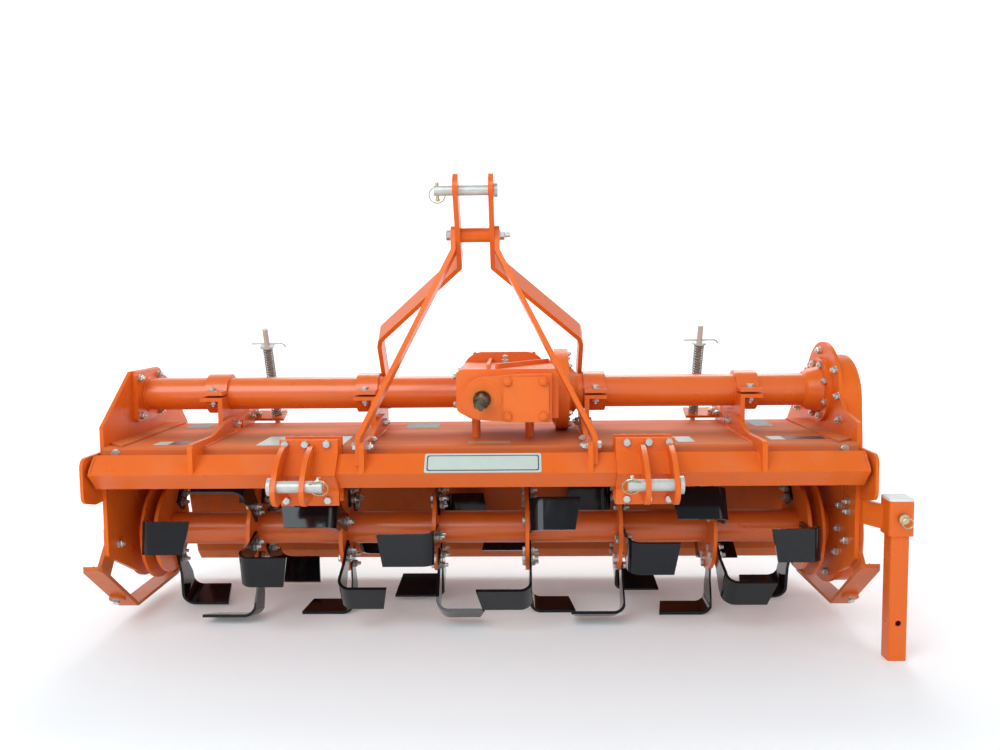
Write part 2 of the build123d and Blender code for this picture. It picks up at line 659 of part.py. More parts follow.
# ---------------------------------------------------------------- mast
web_inboard = CLAMP_X[1] - CLAMP_WIDTH / 2
pin_to_tube = hypot(TOP_TUBE_Y - TOP_PIN_Y, TOP_PIN_Z - TOP_TUBE_Z)
lean = (
    atan2(TOP_TUBE_Y - TOP_PIN_Y, TOP_PIN_Z - TOP_TUBE_Z)
    + asin((TUBE_R + MAST_BAR_WIDTH / 2 + MAST_CLEARANCE) / pin_to_tube))
MAST_PLANE = Plane(
    origin=(MID_X, AXLE_Y + TOP_PIN_Y, TOP_PIN_Z), x_dir=(1, 0, 0),
    z_dir=(0, -cos(lean), -sin(lean)))
MAST_EAR_UP = 38.0
MAST_TIP_R = 22.0
MAST_BEND_DOWN = 213.0
ELBOW_X = 265.0
ELBOW_DOWN = 460.0
# the bar's foot comes down just behind the clamp, on the inner face of its web
MAST_FOOT_X = web_inboard - MAST_BAR_T
MAST_FOOT_DOWN = (TOP_PIN_Z - MAST_FOOT_Z) / cos(lean)

with BuildPart() as mast_bars:
    for label, side in SIDES:
        with BuildSketch(MAST_PLANE.offset(-MAST_BAR_WIDTH / 2)):
            bent_strip(
                [(side * MAST_HALF_GAP, MAST_EAR_UP), (side * MAST_HALF_GAP, -MAST_BEND_DOWN),
                 (side * ELBOW_X, -ELBOW_DOWN), (side * MAST_FOOT_X, -ELBOW_DOWN - 20),
                 (side * MAST_FOOT_X, -MAST_FOOT_DOWN)],
                6, MAST_BAR_T, Side.LEFT if side > 0 else Side.RIGHT)
        extrude(amount=MAST_BAR_WIDTH)
    # rounded tips
    for corners in mast_bars.edges().filter_by(Axis.X).group_by(Axis.Z)[-2:]:
        fillet(corners, MAST_TIP_R)
    # holes for the top-link pin
    with BuildSketch(side_view(-2 * MAST_HALF_GAP)):
        with Locations((TOP_PIN_Y, TOP_PIN_Z)):
            Circle(TOP_PIN_R + FIT)
    extrude(amount=4 * MAST_HALF_GAP, mode=Mode.SUBTRACT)
save(mast_bars, "mast_bars")

SPACER_Y = TOP_PIN_Y + SPACER_DOWN * sin(lean)
SPACER_Z = TOP_PIN_Z - SPACER_DOWN * cos(lean)
with BuildPart() as mast_spacer:
    with BuildSketch(side_view(-MAST_HALF_GAP)):
        with Locations((SPACER_Y, SPACER_Z)):
            Circle(SPACER_R)
            Circle(8, mode=Mode.SUBTRACT)
    extrude(amount=2 * MAST_HALF_GAP)
save(mast_spacer, "mast_spacer")

# the front braces run from the spacer's bolt down to the inner gussets
BRACE_TOP_X = MAST_HALF_GAP + MAST_BAR_T
BRACE_TOP = 21.0
BRACE_TIP_R = 16.0
BRACE_BEND_DOWN = 42.0
BRACE_FOOT_X = web_inboard
BRACE_FOOT_Z = DECK_TOP + 27
BRACE_END_Z = BEAM_Z + 14
brace_lean = (SPACER_Y - BRACE_FOOT_Y) / (SPACER_Z - BRACE_FOOT_Z)
brace_scale = sqrt(1 + brace_lean ** 2)
BRACE_PLANE = Plane(
    origin=(MID_X, AXLE_Y + SPACER_Y, SPACER_Z), x_dir=(1, 0, 0),
    z_dir=(0, -1, brace_lean))
with BuildPart() as mast_braces:
    for label, side in SIDES:
        with BuildSketch(BRACE_PLANE.offset(-BRACE_WIDTH / 2)):
            bent_strip(
                [(side * BRACE_TOP_X, BRACE_TOP), (side * BRACE_TOP_X, -BRACE_BEND_DOWN),
                 (side * BRACE_FOOT_X, -(SPACER_Z - BRACE_FOOT_Z) * brace_scale),
                 (side * BRACE_FOOT_X, -(SPACER_Z - BRACE_END_Z) * brace_scale)],
                14, BRACE_T, Side.LEFT if side > 0 else Side.RIGHT)
        extrude(amount=BRACE_WIDTH)
    for corners in mast_braces.edges().filter_by(Axis.X).group_by(Axis.Z)[-2:]:
        fillet(corners, BRACE_TIP_R)
    # the feet are cut to sit on the beam
    with BuildSketch(side_view(-2 * BRACE_FOOT_X)):
        with Locations(Location((BEAM_Y, BEAM_Z), 45)):
            Rectangle(BEAM_SIDE, BEAM_SIDE)
    extrude(amount=4 * BRACE_FOOT_X, mode=Mode.SUBTRACT)
save(mast_braces, "mast_braces")

with BuildPart() as top_link_pin:
    with BuildSketch(side_view(-MAST_HALF_GAP - MAST_BAR_T - 46)):
        with Locations((TOP_PIN_Y, TOP_PIN_Z)):
            Circle(TOP_PIN_R)
    extrude(amount=2 * (MAST_HALF_GAP + MAST_BAR_T) + 46 + 3)
    with BuildSketch(side_view(MAST_HALF_GAP + MAST_BAR_T + 1)):
        with Locations((TOP_PIN_Y, TOP_PIN_Z)):
            Circle(TOP_PIN_R + 4)
    extrude(amount=9)
save(top_link_pin, "top_link_pin")

# ---------------------------------------------------------------- lower hitch
EAR_TOP_Z = BRACKET_TOP_Z - 13
bracket_face = BEAM_Y - BRACKET_T
nose = (HITCH_PIN_Y - EAR_NOSE, HITCH_PIN_Z - 6)
chin = (HITCH_PIN_Y + 6, HITCH_PIN_Z - 48)
for label, side in SIDES:
    with BuildPart() as hitch_bracket:
        with BuildSketch(slab(side, BRACKET_X - BRACKET_WIDTH / 2, BRACKET_WIDTH)):
            with BuildLine() as face_line:
                Polyline(
                    (BEAM_Y, BRACKET_TOP_Z), (BEAM_Y, BEAM_Z + BEAM_HALF), (BEAM_RIDGE_Y, BEAM_Z),
                    (BEAM_Y, BEAM_Z - BEAM_HALF), (BEAM_Y, BRACKET_FOOT_Z))
                offset(amount=BRACKET_T, side=Side.RIGHT, kind=Kind.INTERSECTION)
            make_face()
        extrude(amount=BRACKET_WIDTH)
        for ear in (-1, 1):
            near = HITCH_X + ear * (HITCH_GAP + EAR_T) / 2 - EAR_T / 2
            with BuildSketch(slab(side, near, EAR_T)):
                with BuildLine():
                    Line((bracket_face + 2, EAR_TOP_Z), (bracket_face - 14, EAR_TOP_Z))
                    ThreePointArc(
                        (bracket_face - 14, EAR_TOP_Z), (HITCH_PIN_Y - 2, HITCH_PIN_Z + 32), nose)
                    ThreePointArc(nose, (HITCH_PIN_Y - 16, HITCH_PIN_Z - 34), chin)
                    Polyline(
                        chin, (bracket_face + 2, HITCH_PIN_Z - 38),
                        (BEAM_Y - 4, BEAM_Z - BEAM_HALF), (BEAM_RIDGE_Y - 4, BEAM_Z),
                        (BEAM_Y - 4, BEAM_Z + BEAM_HALF), (bracket_face + 2, EAR_TOP_Z))
                make_face()
                with Locations((HITCH_PIN_Y, HITCH_PIN_Z)):
                    Circle(HITCH_PIN_R + FIT, mode=Mode.SUBTRACT)
            extrude(amount=EAR_T)
    save(hitch_bracket, f"hitch_bracket_{label}")

with BuildPart() as hitch_back_plates:
    with BuildSketch(front_view(LIP_Y + BACK_PLATE_T)):
        with Locations(*[
            (side * BRACKET_X, (BRACKET_TOP_Z + BRACKET_FOOT_Z) / 2) for _, side in SIDES
        ]):
            Rectangle(BRACKET_WIDTH, BRACKET_TOP_Z - BRACKET_FOOT_Z)
    extrude(amount=BACK_PLATE_T)
save(hitch_back_plates, "hitch_back_plates")

with BuildPart() as hitch_pins:
    outer_face = HITCH_X + HITCH_GAP / 2 + EAR_T
    inner_end = HITCH_X - HITCH_GAP / 2 - EAR_T - 40
    for label, side in SIDES:
        with BuildSketch(slab(side, inner_end, outer_face + 4 - inner_end)):
            with Locations((HITCH_PIN_Y, HITCH_PIN_Z)):
                Circle(HITCH_PIN_R)
        extrude(amount=outer_face + 4 - inner_end)
        with BuildSketch(slab(side, outer_face + 1, 9)):
            with Locations((HITCH_PIN_Y, HITCH_PIN_Z)):
                Circle(HITCH_PIN_R + 7)
        extrude(amount=9)
save(hitch_pins, "hitch_pins")

# ---------------------------------------------------------------- skids
ramp_slope = atan2(SKID_FRONT_Z - SOLE_Z, RAMP_FOOT_Y - SKID_FRONT_Y)


def ramp_z(y, up=0.0):
    """Height of the ramp's underside at y, and of a plane `up` above it."""
    return SOLE_Z + (RAMP_FOOT_Y - y) * tan(ramp_slope) + up


with BuildPart() as skids:
    for label, side in SIDES:
        with BuildSketch(slab(side, SKID_X, SKID_WIDTH)):
            bent_strip(
                [(SKID_FRONT_Y, SKID_FRONT_Z), (RAMP_FOOT_Y, SOLE_Z), (SKID_REAR_Y - 50, SOLE_Z),
                 (SKID_REAR_Y, SKID_REAR_Z)],
                20, SKID_T, Side.LEFT)
        extrude(amount=SKID_WIDTH)
        # struts up to the side plate
        with BuildSketch(slab(side, SIDE_X + SIDE_T, SKID_T)):
            with BuildLine():
                Polyline(
                    (PLATE_FRONT_Y + 18, STRUT_TOP_Z), (PLATE_FRONT_Y + 73, STRUT_TOP_Z),
                    (PLATE_FRONT_Y + 73, STRUT_TOP_Z - 60), (-224, ramp_z(-224, SKID_T)),
                    (-272, ramp_z(-272, SKID_T)), (PLATE_FRONT_Y + 18, STRUT_TOP_Z - 38),
                    close=True)
            make_face()
            with BuildLine():
                Polyline(
                    (SKID_REAR_Y - 78, STRUT_TOP_Z), (SKID_REAR_Y - 26, STRUT_TOP_Z),
                    (SKID_REAR_Y - 26, SOLE_Z + 34), (SKID_REAR_Y - 50, SOLE_Z + 5),
                    (SKID_REAR_Y - 72, SOLE_Z + 5), close=True)
            make_face()
        extrude(amount=SKID_T)
    # rounded corners of the runners
    with BuildSketch(plan_view(0)):
        with Locations(*[
            (side * (SKID_X + SKID_WIDTH / 2), (SKID_FRONT_Y + SKID_REAR_Y) / 2)
            for _, side in SIDES
        ]):
            RectangleRounded(SKID_WIDTH, SKID_REAR_Y - SKID_FRONT_Y, SKID_TIP_R)
    extrude(amount=400, mode=Mode.INTERSECT)
    # round wear pads low on the ramps
    for label, side in SIDES:
        pad_face = Plane(
            origin=(MID_X + side * (SKID_X + SKID_WIDTH - PAD_R), AXLE_Y + PAD_Y, ramp_z(PAD_Y)),
            x_dir=(1, 0, 0), z_dir=(0, -sin(ramp_slope), -cos(ramp_slope)))
        with BuildSketch(pad_face):
            Circle(PAD_R)
        extrude(amount=PAD_T)
save(skids, "skids")

# ---------------------------------------------------------------- parking stand
SOCKET_BORE = LEG_SIDE + 2 * SOCKET_CLEARANCE
SOCKET_SIDE = SOCKET_BORE + 2 * SOCKET_WALL
SOCKET_FOOT_Z = LEG_TOP_Z - SOCKET_HEIGHT
with BuildPart() as stand_leg:
    with BuildSketch(plan_view(0)):
        with Locations((STAND_X, STAND_Y)):
            RectangleRounded(LEG_SIDE, LEG_SIDE, 6)
            RectangleRounded(LEG_SIDE - 2 * LEG_WALL, LEG_SIDE - 2 * LEG_WALL, 3,
                             mode=Mode.SUBTRACT)
    extrude(amount=LEG_TOP_Z)
    # cross hole for the raised position
    with BuildSketch(front_view(STAND_Y)):
        with Locations((STAND_X, LOCK_PIN_Z - LOCK_HOLE_PITCH)):
            Circle(LOCK_PIN_R + FIT)
    extrude(amount=LEG_SIDE, both=True, mode=Mode.SUBTRACT)
save(stand_leg, "stand_leg")

with BuildPart() as stand_socket:
    with BuildSketch(plan_view(SOCKET_FOOT_Z)):
        with Locations((STAND_X, STAND_Y)):
            RectangleRounded(SOCKET_SIDE, SOCKET_SIDE, 9)
            Rectangle(SOCKET_BORE, SOCKET_BORE, mode=Mode.SUBTRACT)
    extrude(amount=SOCKET_HEIGHT)
    with BuildSketch(front_view(STAND_Y - SOCKET_BORE / 2)):
        with Locations((STAND_X, LOCK_PIN_Z)):
            Circle(LOCK_PIN_R)
    extrude(amount=SOCKET_WALL, mode=Mode.SUBTRACT)
save(stand_socket, "stand_socket")

with BuildPart() as stand_pin:
    with BuildSketch(front_view(STAND_Y - SOCKET_BORE / 2)):
        with Locations((STAND_X, LOCK_PIN_Z)):
            Circle(LOCK_PIN_R)
    extrude(amount=SOCKET_WALL + 10)
    with BuildSketch(front_view(STAND_Y - SOCKET_SIDE / 2 - 4)):
        with Locations((STAND_X, LOCK_PIN_Z)):
            Circle(LOCK_PIN_R + 5)
    extrude(amount=8)
save(stand_pin, "stand_pin")

ARM_X = SIDE_X + SIDE_T
with BuildPart() as stand_arm:
    with BuildSketch(plan_view(SOCKET_FOOT_Z + 8)):
        bent_strip(
            [(ARM_X, PLATE_FRONT_Y + 73), (ARM_X, PLATE_FRONT_Y - 19),
             (STAND_X - 20, STAND_Y - 8)], 14, 10, Side.LEFT)
        with Locations((STAND_X, STAND_Y)):
            Rectangle(SOCKET_SIDE, SOCKET_SIDE, mode=Mode.SUBTRACT)
    extrude(amount=SOCKET_HEIGHT - 24)
save(stand_arm, "stand_arm")

# ---------------------------------------------------------------- levelling board
LUG_T = 10.0
LUG_PITCH = (BOARD_HALF - 45) / 2
LUG_X = [LUG_PITCH * step for step in (-2, -1, 0, 1, 2)]
KNUCKLE_X = [LUG_PITCH * step for step in (-1.5, -0.5, 0.5, 1.5)]
KNUCKLE_LENGTH = 120.0
with BuildPart() as hinge_rod:
    with BuildSketch(side_view(-BOARD_HALF)):
        with Locations((HINGE_Y, HINGE_Z)):
            Circle(HINGE_ROD_R)
    extrude(amount=2 * BOARD_HALF)
    for middle in LUG_X:
        with BuildSketch(side_view(middle - LUG_T / 2)):
            with BuildLine():
                Polyline(
                    (SKIRT_Y, SKIRT_FOOT_Z + 30), (SKIRT_Y, SKIRT_FOOT_Z),
                    (HINGE_Y - KNUCKLE_R, HINGE_Z), (HINGE_Y + KNUCKLE_R, HINGE_Z), close=True)
            make_face()
            with Locations((HINGE_Y, HINGE_Z)):
                Circle(KNUCKLE_R)
        extrude(amount=LUG_T)
save(hinge_rod, "hinge_rod")

board_run = sqrt((BOARD_FOOT_Y - HINGE_Y) ** 2 + (HINGE_Z - BOARD_FOOT_Z) ** 2)
down_y = (BOARD_FOOT_Y - HINGE_Y) / board_run
down_z = (BOARD_FOOT_Z - HINGE_Z) / board_run
BOARD_START = KNUCKLE_R + 5
with BuildPart() as tailboard:
    with BuildSketch(side_view(-BOARD_HALF)):
        bent_strip(
            [(HINGE_Y + BOARD_START * down_y, HINGE_Z + BOARD_START * down_z),
             (BOARD_FOOT_Y - 20 * down_y, BOARD_FOOT_Z - 20 * down_z),
             (BOARD_FOOT_Y + BOARD_LIP, BOARD_FOOT_Z - 14)],
            8, BOARD_T, Side.LEFT)
    extrude(amount=2 * BOARD_HALF)
    for middle in KNUCKLE_X:
        with BuildSketch(side_view(middle - KNUCKLE_LENGTH / 2)):
            with Locations((HINGE_Y, HINGE_Z)):
                Circle(KNUCKLE_R)
            with BuildLine():
                Line((HINGE_Y, HINGE_Z),
                     (HINGE_Y + 30 * down_y, HINGE_Z + 30 * down_z))
                offset(amount=BOARD_T, side=Side.LEFT)
            make_face()
            with Locations((HINGE_Y, HINGE_Z)):
                Circle(HINGE_ROD_R + RUN_FIT, mode=Mode.SUBTRACT)
        extrude(amount=KNUCKLE_LENGTH)
    # eyes for the spring rods
    for label, side in SIDES:
        for wing in (-1, 1):
            near = ROD_X + wing * (EYE_WIDTH / 2 + 5) - 4
            with BuildSketch(slab(side, near, 8)):
                with Locations((EYE_Y, EYE_Z)):
                    Circle(EYE_R)
                with Locations((HINGE_Y + 150 * down_y, HINGE_Z + 150 * down_z)):
                    Circle(24)
                make_hull()
            extrude(amount=8)
    for label, side in SIDES:
        with BuildSketch(slab(side, ROD_X - EYE_WIDTH / 2 - 9, EYE_WIDTH + 18)):
            with Locations((EYE_Y, EYE_Z)):
                Circle(EYE_PIN_R)
        extrude(amount=EYE_WIDTH + 18)
    with BuildSketch(side_view(-BOARD_HALF)):
        with BuildLine():
            Polyline(
                (HINGE_Y - 40, HINGE_Z), (HINGE_Y, HINGE_Z),
                (BOARD_FOOT_Y, BOARD_FOOT_Z), (BOARD_FOOT_Y - 60, BOARD_FOOT_Z), close=True)
        make_face()
        with Locations((HINGE_Y, HINGE_Z)):
            Circle(KNUCKLE_R, mode=Mode.SUBTRACT)
    extrude(amount=2 * BOARD_HALF, mode=Mode.SUBTRACT)
save(tailboard, "tailboard")

# ---------------------------------------------------------------- spring rods
rod_lean = atan2(EYE_Y - GUIDE_Y, GUIDE_Z - EYE_Z)


def along_rod(x, z):
    """Plane square to the rod where it passes height z: it faces up along the rod."""
    return Plane(
        origin=(MID_X + x, AXLE_Y + EYE_Y - (z - EYE_Z) * tan(rod_lean), z), x_dir=(1, 0, 0),
        z_dir=(0, -sin(rod_lean), cos(rod_lean)))


TAB_T = 8.0
WASHER_Z = ROD_TOP_Z - WASHER_DOWN
tab_top_z = GUIDE_Z + TAB_T / 2 * cos(rod_lean)
for label, side in SIDES:
    with BuildPart() as spring_rod:
        with BuildSketch(slab(side, ROD_X - EYE_WIDTH / 2, EYE_WIDTH)):
            with Locations((EYE_Y, EYE_Z)):
                Circle(EYE_R)
        extrude(amount=EYE_WIDTH)
        with BuildSketch(along_rod(side * ROD_X, EYE_Z)):
            Circle(ROD_R)
        extrude(amount=(ROD_TOP_Z - EYE_Z) / cos(rod_lean))
        with BuildSketch(slab(side, ROD_X - EYE_WIDTH / 2, EYE_WIDTH)):
            with Locations((EYE_Y, EYE_Z)):
                Circle(EYE_PIN_R + RUN_FIT)
        extrude(amount=EYE_WIDTH, mode=Mode.SUBTRACT)
        with BuildSketch(along_rod(side * ROD_X, WASHER_Z)):
            Circle(21)
        extrude(amount=4)
    save(spring_rod, f"spring_rod_{label}")

    with BuildPart() as spring:
        with BuildSketch(along_rod(side * ROD_X, tab_top_z + 0.3)):
            Circle(SPRING_R)
            Circle(SPRING_R - SPRING_WIRE, mode=Mode.SUBTRACT)
        extrude(amount=(WASHER_Z - tab_top_z - 0.3) / cos(rod_lean))
    save(spring, f"spring_{label}")

BRACKET_PLATE_T = 8.0
with BuildPart() as spring_brackets:
    web_face = CLAMP_X[0] - CLAMP_WIDTH / 2
    plate_front = TOP_TUBE_Y + 58
    for label, side in SIDES:
        with BuildSketch(slab(side, web_face - BRACKET_PLATE_T, BRACKET_PLATE_T)):
            with BuildLine():
                Polyline(
                    (plate_front, DECK_TOP), (DECK_REAR_Y, DECK_TOP),
                    (DECK_REAR_Y + 50, DECK_TOP + 12), (DECK_REAR_Y + 56, DECK_TOP + 44),
                    (DECK_REAR_Y - 17, DECK_TOP + 44), (plate_front, DECK_TOP + 24), close=True)
            make_face()
        extrude(amount=BRACKET_PLATE_T)
        tab_width = web_face - BRACKET_PLATE_T - ROD_X + 26
        with BuildSketch(along_rod(side * ROD_X, GUIDE_Z)):
            with Locations((side * (tab_width / 2 - 26), 0)):
                Rectangle(tab_width, 52)
            SlotOverall(2 * ROD_R + 12, 2 * ROD_R + 3, rotation=90, mode=Mode.SUBTRACT)
        extrude(amount=TAB_T / 2, both=True)
save(spring_brackets, "spring_brackets")
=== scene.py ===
"""Dresses the rotary tiller: enamels, plating, bolts, pins, springs, welds, blank plates."""

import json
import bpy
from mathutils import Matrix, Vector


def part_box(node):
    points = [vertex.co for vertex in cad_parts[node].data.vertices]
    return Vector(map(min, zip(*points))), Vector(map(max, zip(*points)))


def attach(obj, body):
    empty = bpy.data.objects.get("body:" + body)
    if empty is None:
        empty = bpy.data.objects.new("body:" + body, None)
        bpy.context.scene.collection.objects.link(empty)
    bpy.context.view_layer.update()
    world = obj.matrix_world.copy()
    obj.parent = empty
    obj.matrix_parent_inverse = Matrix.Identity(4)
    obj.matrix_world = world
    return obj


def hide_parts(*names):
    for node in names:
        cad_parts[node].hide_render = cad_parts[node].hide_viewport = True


bl_info = {
    "name": "Rotary Tiller Dressing",
    "version": (1, 0, 0),
    "blender": (4, 5, 0),
    "location": "View3D > Sidebar > Tiller",
    "description": "Finishes, fasteners, springs, welds and blank plates of a rotary tiller",
    "category": "Object",
}

from math import atan2, cos, pi, radians, sin

import bmesh
import bpy
from mathutils import Matrix, Vector

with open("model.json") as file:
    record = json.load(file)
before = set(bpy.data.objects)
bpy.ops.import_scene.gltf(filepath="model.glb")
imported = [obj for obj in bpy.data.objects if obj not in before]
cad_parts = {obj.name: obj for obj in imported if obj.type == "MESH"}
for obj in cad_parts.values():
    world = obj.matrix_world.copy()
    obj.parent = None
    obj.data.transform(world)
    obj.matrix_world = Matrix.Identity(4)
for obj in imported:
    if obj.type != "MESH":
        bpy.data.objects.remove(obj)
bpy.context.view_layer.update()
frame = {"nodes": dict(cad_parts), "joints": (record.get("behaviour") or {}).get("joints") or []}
NODES = frame["nodes"]
JOINTS = {joint["name"]: joint for joint in frame["joints"]}
AXLE = Vector(JOINTS["rotor_turn"]["pos_m"])
UP = Vector((0, 0, 1))
ACROSS = Vector((1, 0, 0))
BACK = Vector((0, 1, 0))
SIDES = (("left", -1), ("right", 1))

# places on the frame in mm, measured as at() takes them
ROTOR_Z = 246
TUBE_Y, TUBE_Z = 22, 623.5  # axis of the top tube
FLANGE_FACE = 932  # inner face of the top tube's flange at either end
PLATE_INSIDE, PLATE_OUTSIDE = 944, 954  # faces of a side plate
CASE_FACE = 1008  # outer face of the gear case
STRUT_FACE = 964  # outer face of a skid's strut
BRACKET_FRONT, BRACKET_BACK = -306.6, -242.1  # faces of the hitch brackets' plates
CLAMPS_X = (728, 312)
CLAMP_REACH = 73.5  # from the tube's axis to a clamp's bolts
CLAMP_TOP, CLAMP_UNDER = 636.5, 610.5
GUSSETS_X = ((686, 710), (270, 294))  # near and far face of each gusset on its web
MAST_NEAR, MAST_FAR = 270, 294  # faces of the mast's foot on its web
SPRING_BRACKET_X = 690
DECK_FILM_Z = 516.1


def at(x, y, z):
    """A point, in mm: x right of the middle, y behind the rotor's axis, z above the ground."""
    return Vector((AXLE.x + x / 1000, AXLE.y + y / 1000, z / 1000))


def mm(length):
    """A property's length in mm."""
    return round(length * 1000, 3)


def turn_in(steps):
    """The angles of one full turn in equal steps."""
    return [2 * pi * step / steps for step in range(steps)]


def colour_property(name, description, default):
    """A colour for the sidebar."""
    return bpy.props.FloatVectorProperty(name=name, description=description, default=default,
                                         subtype="COLOR", size=3, min=0, max=1)


def length_property(name, description, default):
    """A length for the sidebar, in metres."""
    return bpy.props.FloatProperty(name=name, description=description, default=default,
                                   min=0.001, unit="LENGTH", precision=4)


# ---------------------------------------------------------------- finishes
class Wire:
    """A shader socket that can stand in a sum: every operation adds its Math node."""

    def __init__(self, bench, socket):
        self.bench = bench
        self.socket = socket

    def _sum(self, operation, first, second):
        values = {0: first, 1: second}
        return self.bench.node("ShaderNodeMath", {"operation": operation}, values)

    def __add__(self, other):
        return self._sum("ADD", self, other)

    __radd__ = __add__

    def __sub__(self, other):
        return self._sum("SUBTRACT", self, other)

    def __rsub__(self, other):
        return self._sum("SUBTRACT", other, self)

    def __mul__(self, other):
        return self._sum("MULTIPLY", self, other)

    __rmul__ = __mul__

    def __truediv__(self, other):
        return self._sum("DIVIDE", self, other)

    def __rtruediv__(self, other):
        return self._sum("DIVIDE", other, self)

    def under(self, limit):
        """1 where this is less than the limit, 0 elsewhere."""
        return self._sum("LESS_THAN", self, limit)


class Bench:
    """A node tree in the making."""

    def __init__(self, tree):
        self.tree = tree

    def node(self, kind, settings=None, values=None, output=0):
        """Add a node: its settings first, then the values or links of its sockets."""
        node = self.tree.nodes.new(kind)
        for name, value in (settings or {}).items():
            if name == "stops":
                ramp = node.color_ramp.elements
                while len(ramp) < len(value):
                    ramp.new(0.5)
                for stop, (position, tone) in zip(ramp, value):
                    stop.position = position
                    stop.color = tone if isinstance(tone, tuple) else (tone, tone, tone, 1)
            else:
                setattr(node, name, value)
        for socket, value in (values or {}).items():
            self.feed(node.inputs[socket], value)
        return Wire(self, node.outputs[output])

    def feed(self, socket, value):
        """Link a wire to a socket, or set the socket's own value."""
        if isinstance(value, Wire):
            self.tree.links.new(value.socket, socket)
        else:
            socket.default_value = value

    def place(self):
        """The surface point in the object's own coordinates, in metres."""
        return self.node("ShaderNodeTexCoord", output="Object")

    def part(self, vector, index):
        """The X, Y or Z part of a vector: 0, 1 or 2."""
        return self.node("ShaderNodeSeparateXYZ", {}, {0: vector}, output=index)

    def stretched(self, scale):
        """The surface point, scaled unevenly along X, Y and Z."""
        return self.node("ShaderNodeMapping", {}, {"Vector": self.place(), "Scale": scale})

    def noise(self, scale, detail=3.0, vector=None, roughness=0.5):
        """Cloudy noise from 0 to 1, `scale` clouds to the metre."""
        values = {"Vector": vector or self.place(), "Scale": scale, "Detail": detail,
                  "Roughness": roughness}
        return self.node("ShaderNodeTexNoise", {}, values)

    def ramp(self, factor, *stops):
        """A ramp of greys or colours over a factor."""
        return self.node("ShaderNodeValToRGB", {"stops": stops}, {"Fac": factor})

    def mix(self, factor, first, second):
        """Blend two colours by a factor."""
        values = {0: factor, 6: first, 7: second}
        return self.node("ShaderNodeMix", {"data_type": "RGBA"}, values, output=2)


class Finish(Bench):
    """A material in the making, on one Principled shader."""

    def __init__(self, name, **settings):
        self.material = bpy.data.materials.new(name)
        self.material.use_nodes = True
        super().__init__(self.material.node_tree)
        self.shader = self.tree.nodes["Principled BSDF"]
        self.paint(**settings)

    def paint(self, **sockets):
        """Set or feed the shader's sockets."""
        for socket, value in sockets.items():
            self.feed(self.shader.inputs[socket.replace("_", " ")], value)

    def bump(self, height, strength, distance):
        """Raise the surface by a height map; distance in metres."""
        values = {"Height": height, "Strength": strength, "Distance": distance}
        self.paint(Normal=self.node("ShaderNodeBump", {}, values))


def rgb(colour):
    """A property's colour as a socket takes it."""
    return (colour[0], colour[1], colour[2], 1)


def enamel(props, name, gloss, soiled=0.0):
    """Sprayed orange enamel: slight tone drift, orange peel, thin dust on what faces up."""
    finish = Finish(name, Coat_Weight=gloss * 0.5, Coat_Roughness=0.12,
                    Specular_IOR_Level=0.12 + gloss * 0.9)
    drift = finish.noise(3.2, 4.0)
    tone = finish.mix(drift, rgb(props.orange), rgb(props.orange_deep))
    facing_up = finish.part(finish.node("ShaderNodeNewGeometry", output="Normal"), 2)
    dust = finish.ramp(facing_up * finish.noise(9.0, 5.0), (0.36, 0.0), (0.80, 0.30))
    dusty = finish.mix(dust, tone, rgb(props.soil if soiled > 0.5 else props.dust))
    streaks = finish.noise(30.0, 5.0, finish.stretched((1.0, 1.0, 0.25)))
    runs = finish.ramp(streaks, (0.60 - soiled * 0.25, soiled * 0.3),
                       (0.85, 0.35 + soiled * 0.4))
    flecks = finish.noise(260.0, 3.0, roughness=0.7)
    chips = finish.ramp(flecks, (0.74, 0.0), (0.79, 0.55))
    worn = finish.mix(runs, dusty, rgb(props.grime))
    finish.paint(
        Base_Color=finish.mix(chips, worn, rgb(props.primer)),
        Roughness=finish.noise(14.0, 4.0) * 0.16 + dust * 0.25 + 0.22)
    peel, waves = finish.noise(520.0, 2.0), finish.noise(26.0, 2.0)
    finish.bump(peel * 0.5 + waves, 0.10, 0.0012)
    return finish.material


def dusty_shaded_deck_enamel(props):
    """The deck's enamel: dulled, with brown clouds and streaks over it, partly dust and partly
    painted shade and reflection.
    """
    finish = Finish("deck_enamel", Specular_IOR_Level=0.16)
    drift = finish.noise(4.0, 4.0)
    tone = finish.mix(drift, rgb(props.orange), rgb(props.orange_deep))
    clouds = finish.noise(5.0, 6.0, finish.stretched((0.6, 2.0, 1.0)), 0.6)
    # the strip along the rear edge, from here back in metres, stays free of the brown clouds of
    # dust and painted shade
    clean_from = 0.128
    dust_and_shade_ahead = (finish.part(finish.place(), 1) - AXLE.y).under(clean_from)
    # brown clouds ahead of the rear strip: partly dust, partly painted shade and reflection
    dust = finish.ramp(clouds, (0.34, 0.25), (0.66, 0.85)) * (dust_and_shade_ahead * 0.85 + 0.15)
    fine = finish.noise(340.0, 3.0, roughness=0.7)
    finish.paint(
        Base_Color=finish.mix(dust, tone, rgb(props.soil)),
        Roughness=fine * 0.2 + dust * 0.2 + 0.42)
    finish.bump(fine * 0.3 + clouds, 0.15, 0.0015)
    return finish.material


def cast_enamel(props):
    """The same enamel over rough iron castings, with grime stains and a sandy surface."""
    finish = Finish("cast_orange_enamel", Coat_Weight=0.08, Coat_Roughness=0.2,
                    Specular_IOR_Level=0.28)
    drift = finish.noise(5.0, 4.0)
    tone = finish.mix(drift, rgb(props.cast), rgb(props.orange))
    stains = finish.noise(17.0, 6.0, roughness=0.65)
    grime = finish.ramp(stains, (0.58, 0.0), (0.80, 0.35))
    finish.paint(
        Base_Color=finish.mix(grime, tone, rgb(props.grime)),
        Roughness=finish.noise(60.0, 3.0) * 0.25 + 0.28)
    sand = finish.noise(210.0, 5.0, roughness=0.7)
    finish.bump(sand, 0.45, 0.0016)
    return finish.material


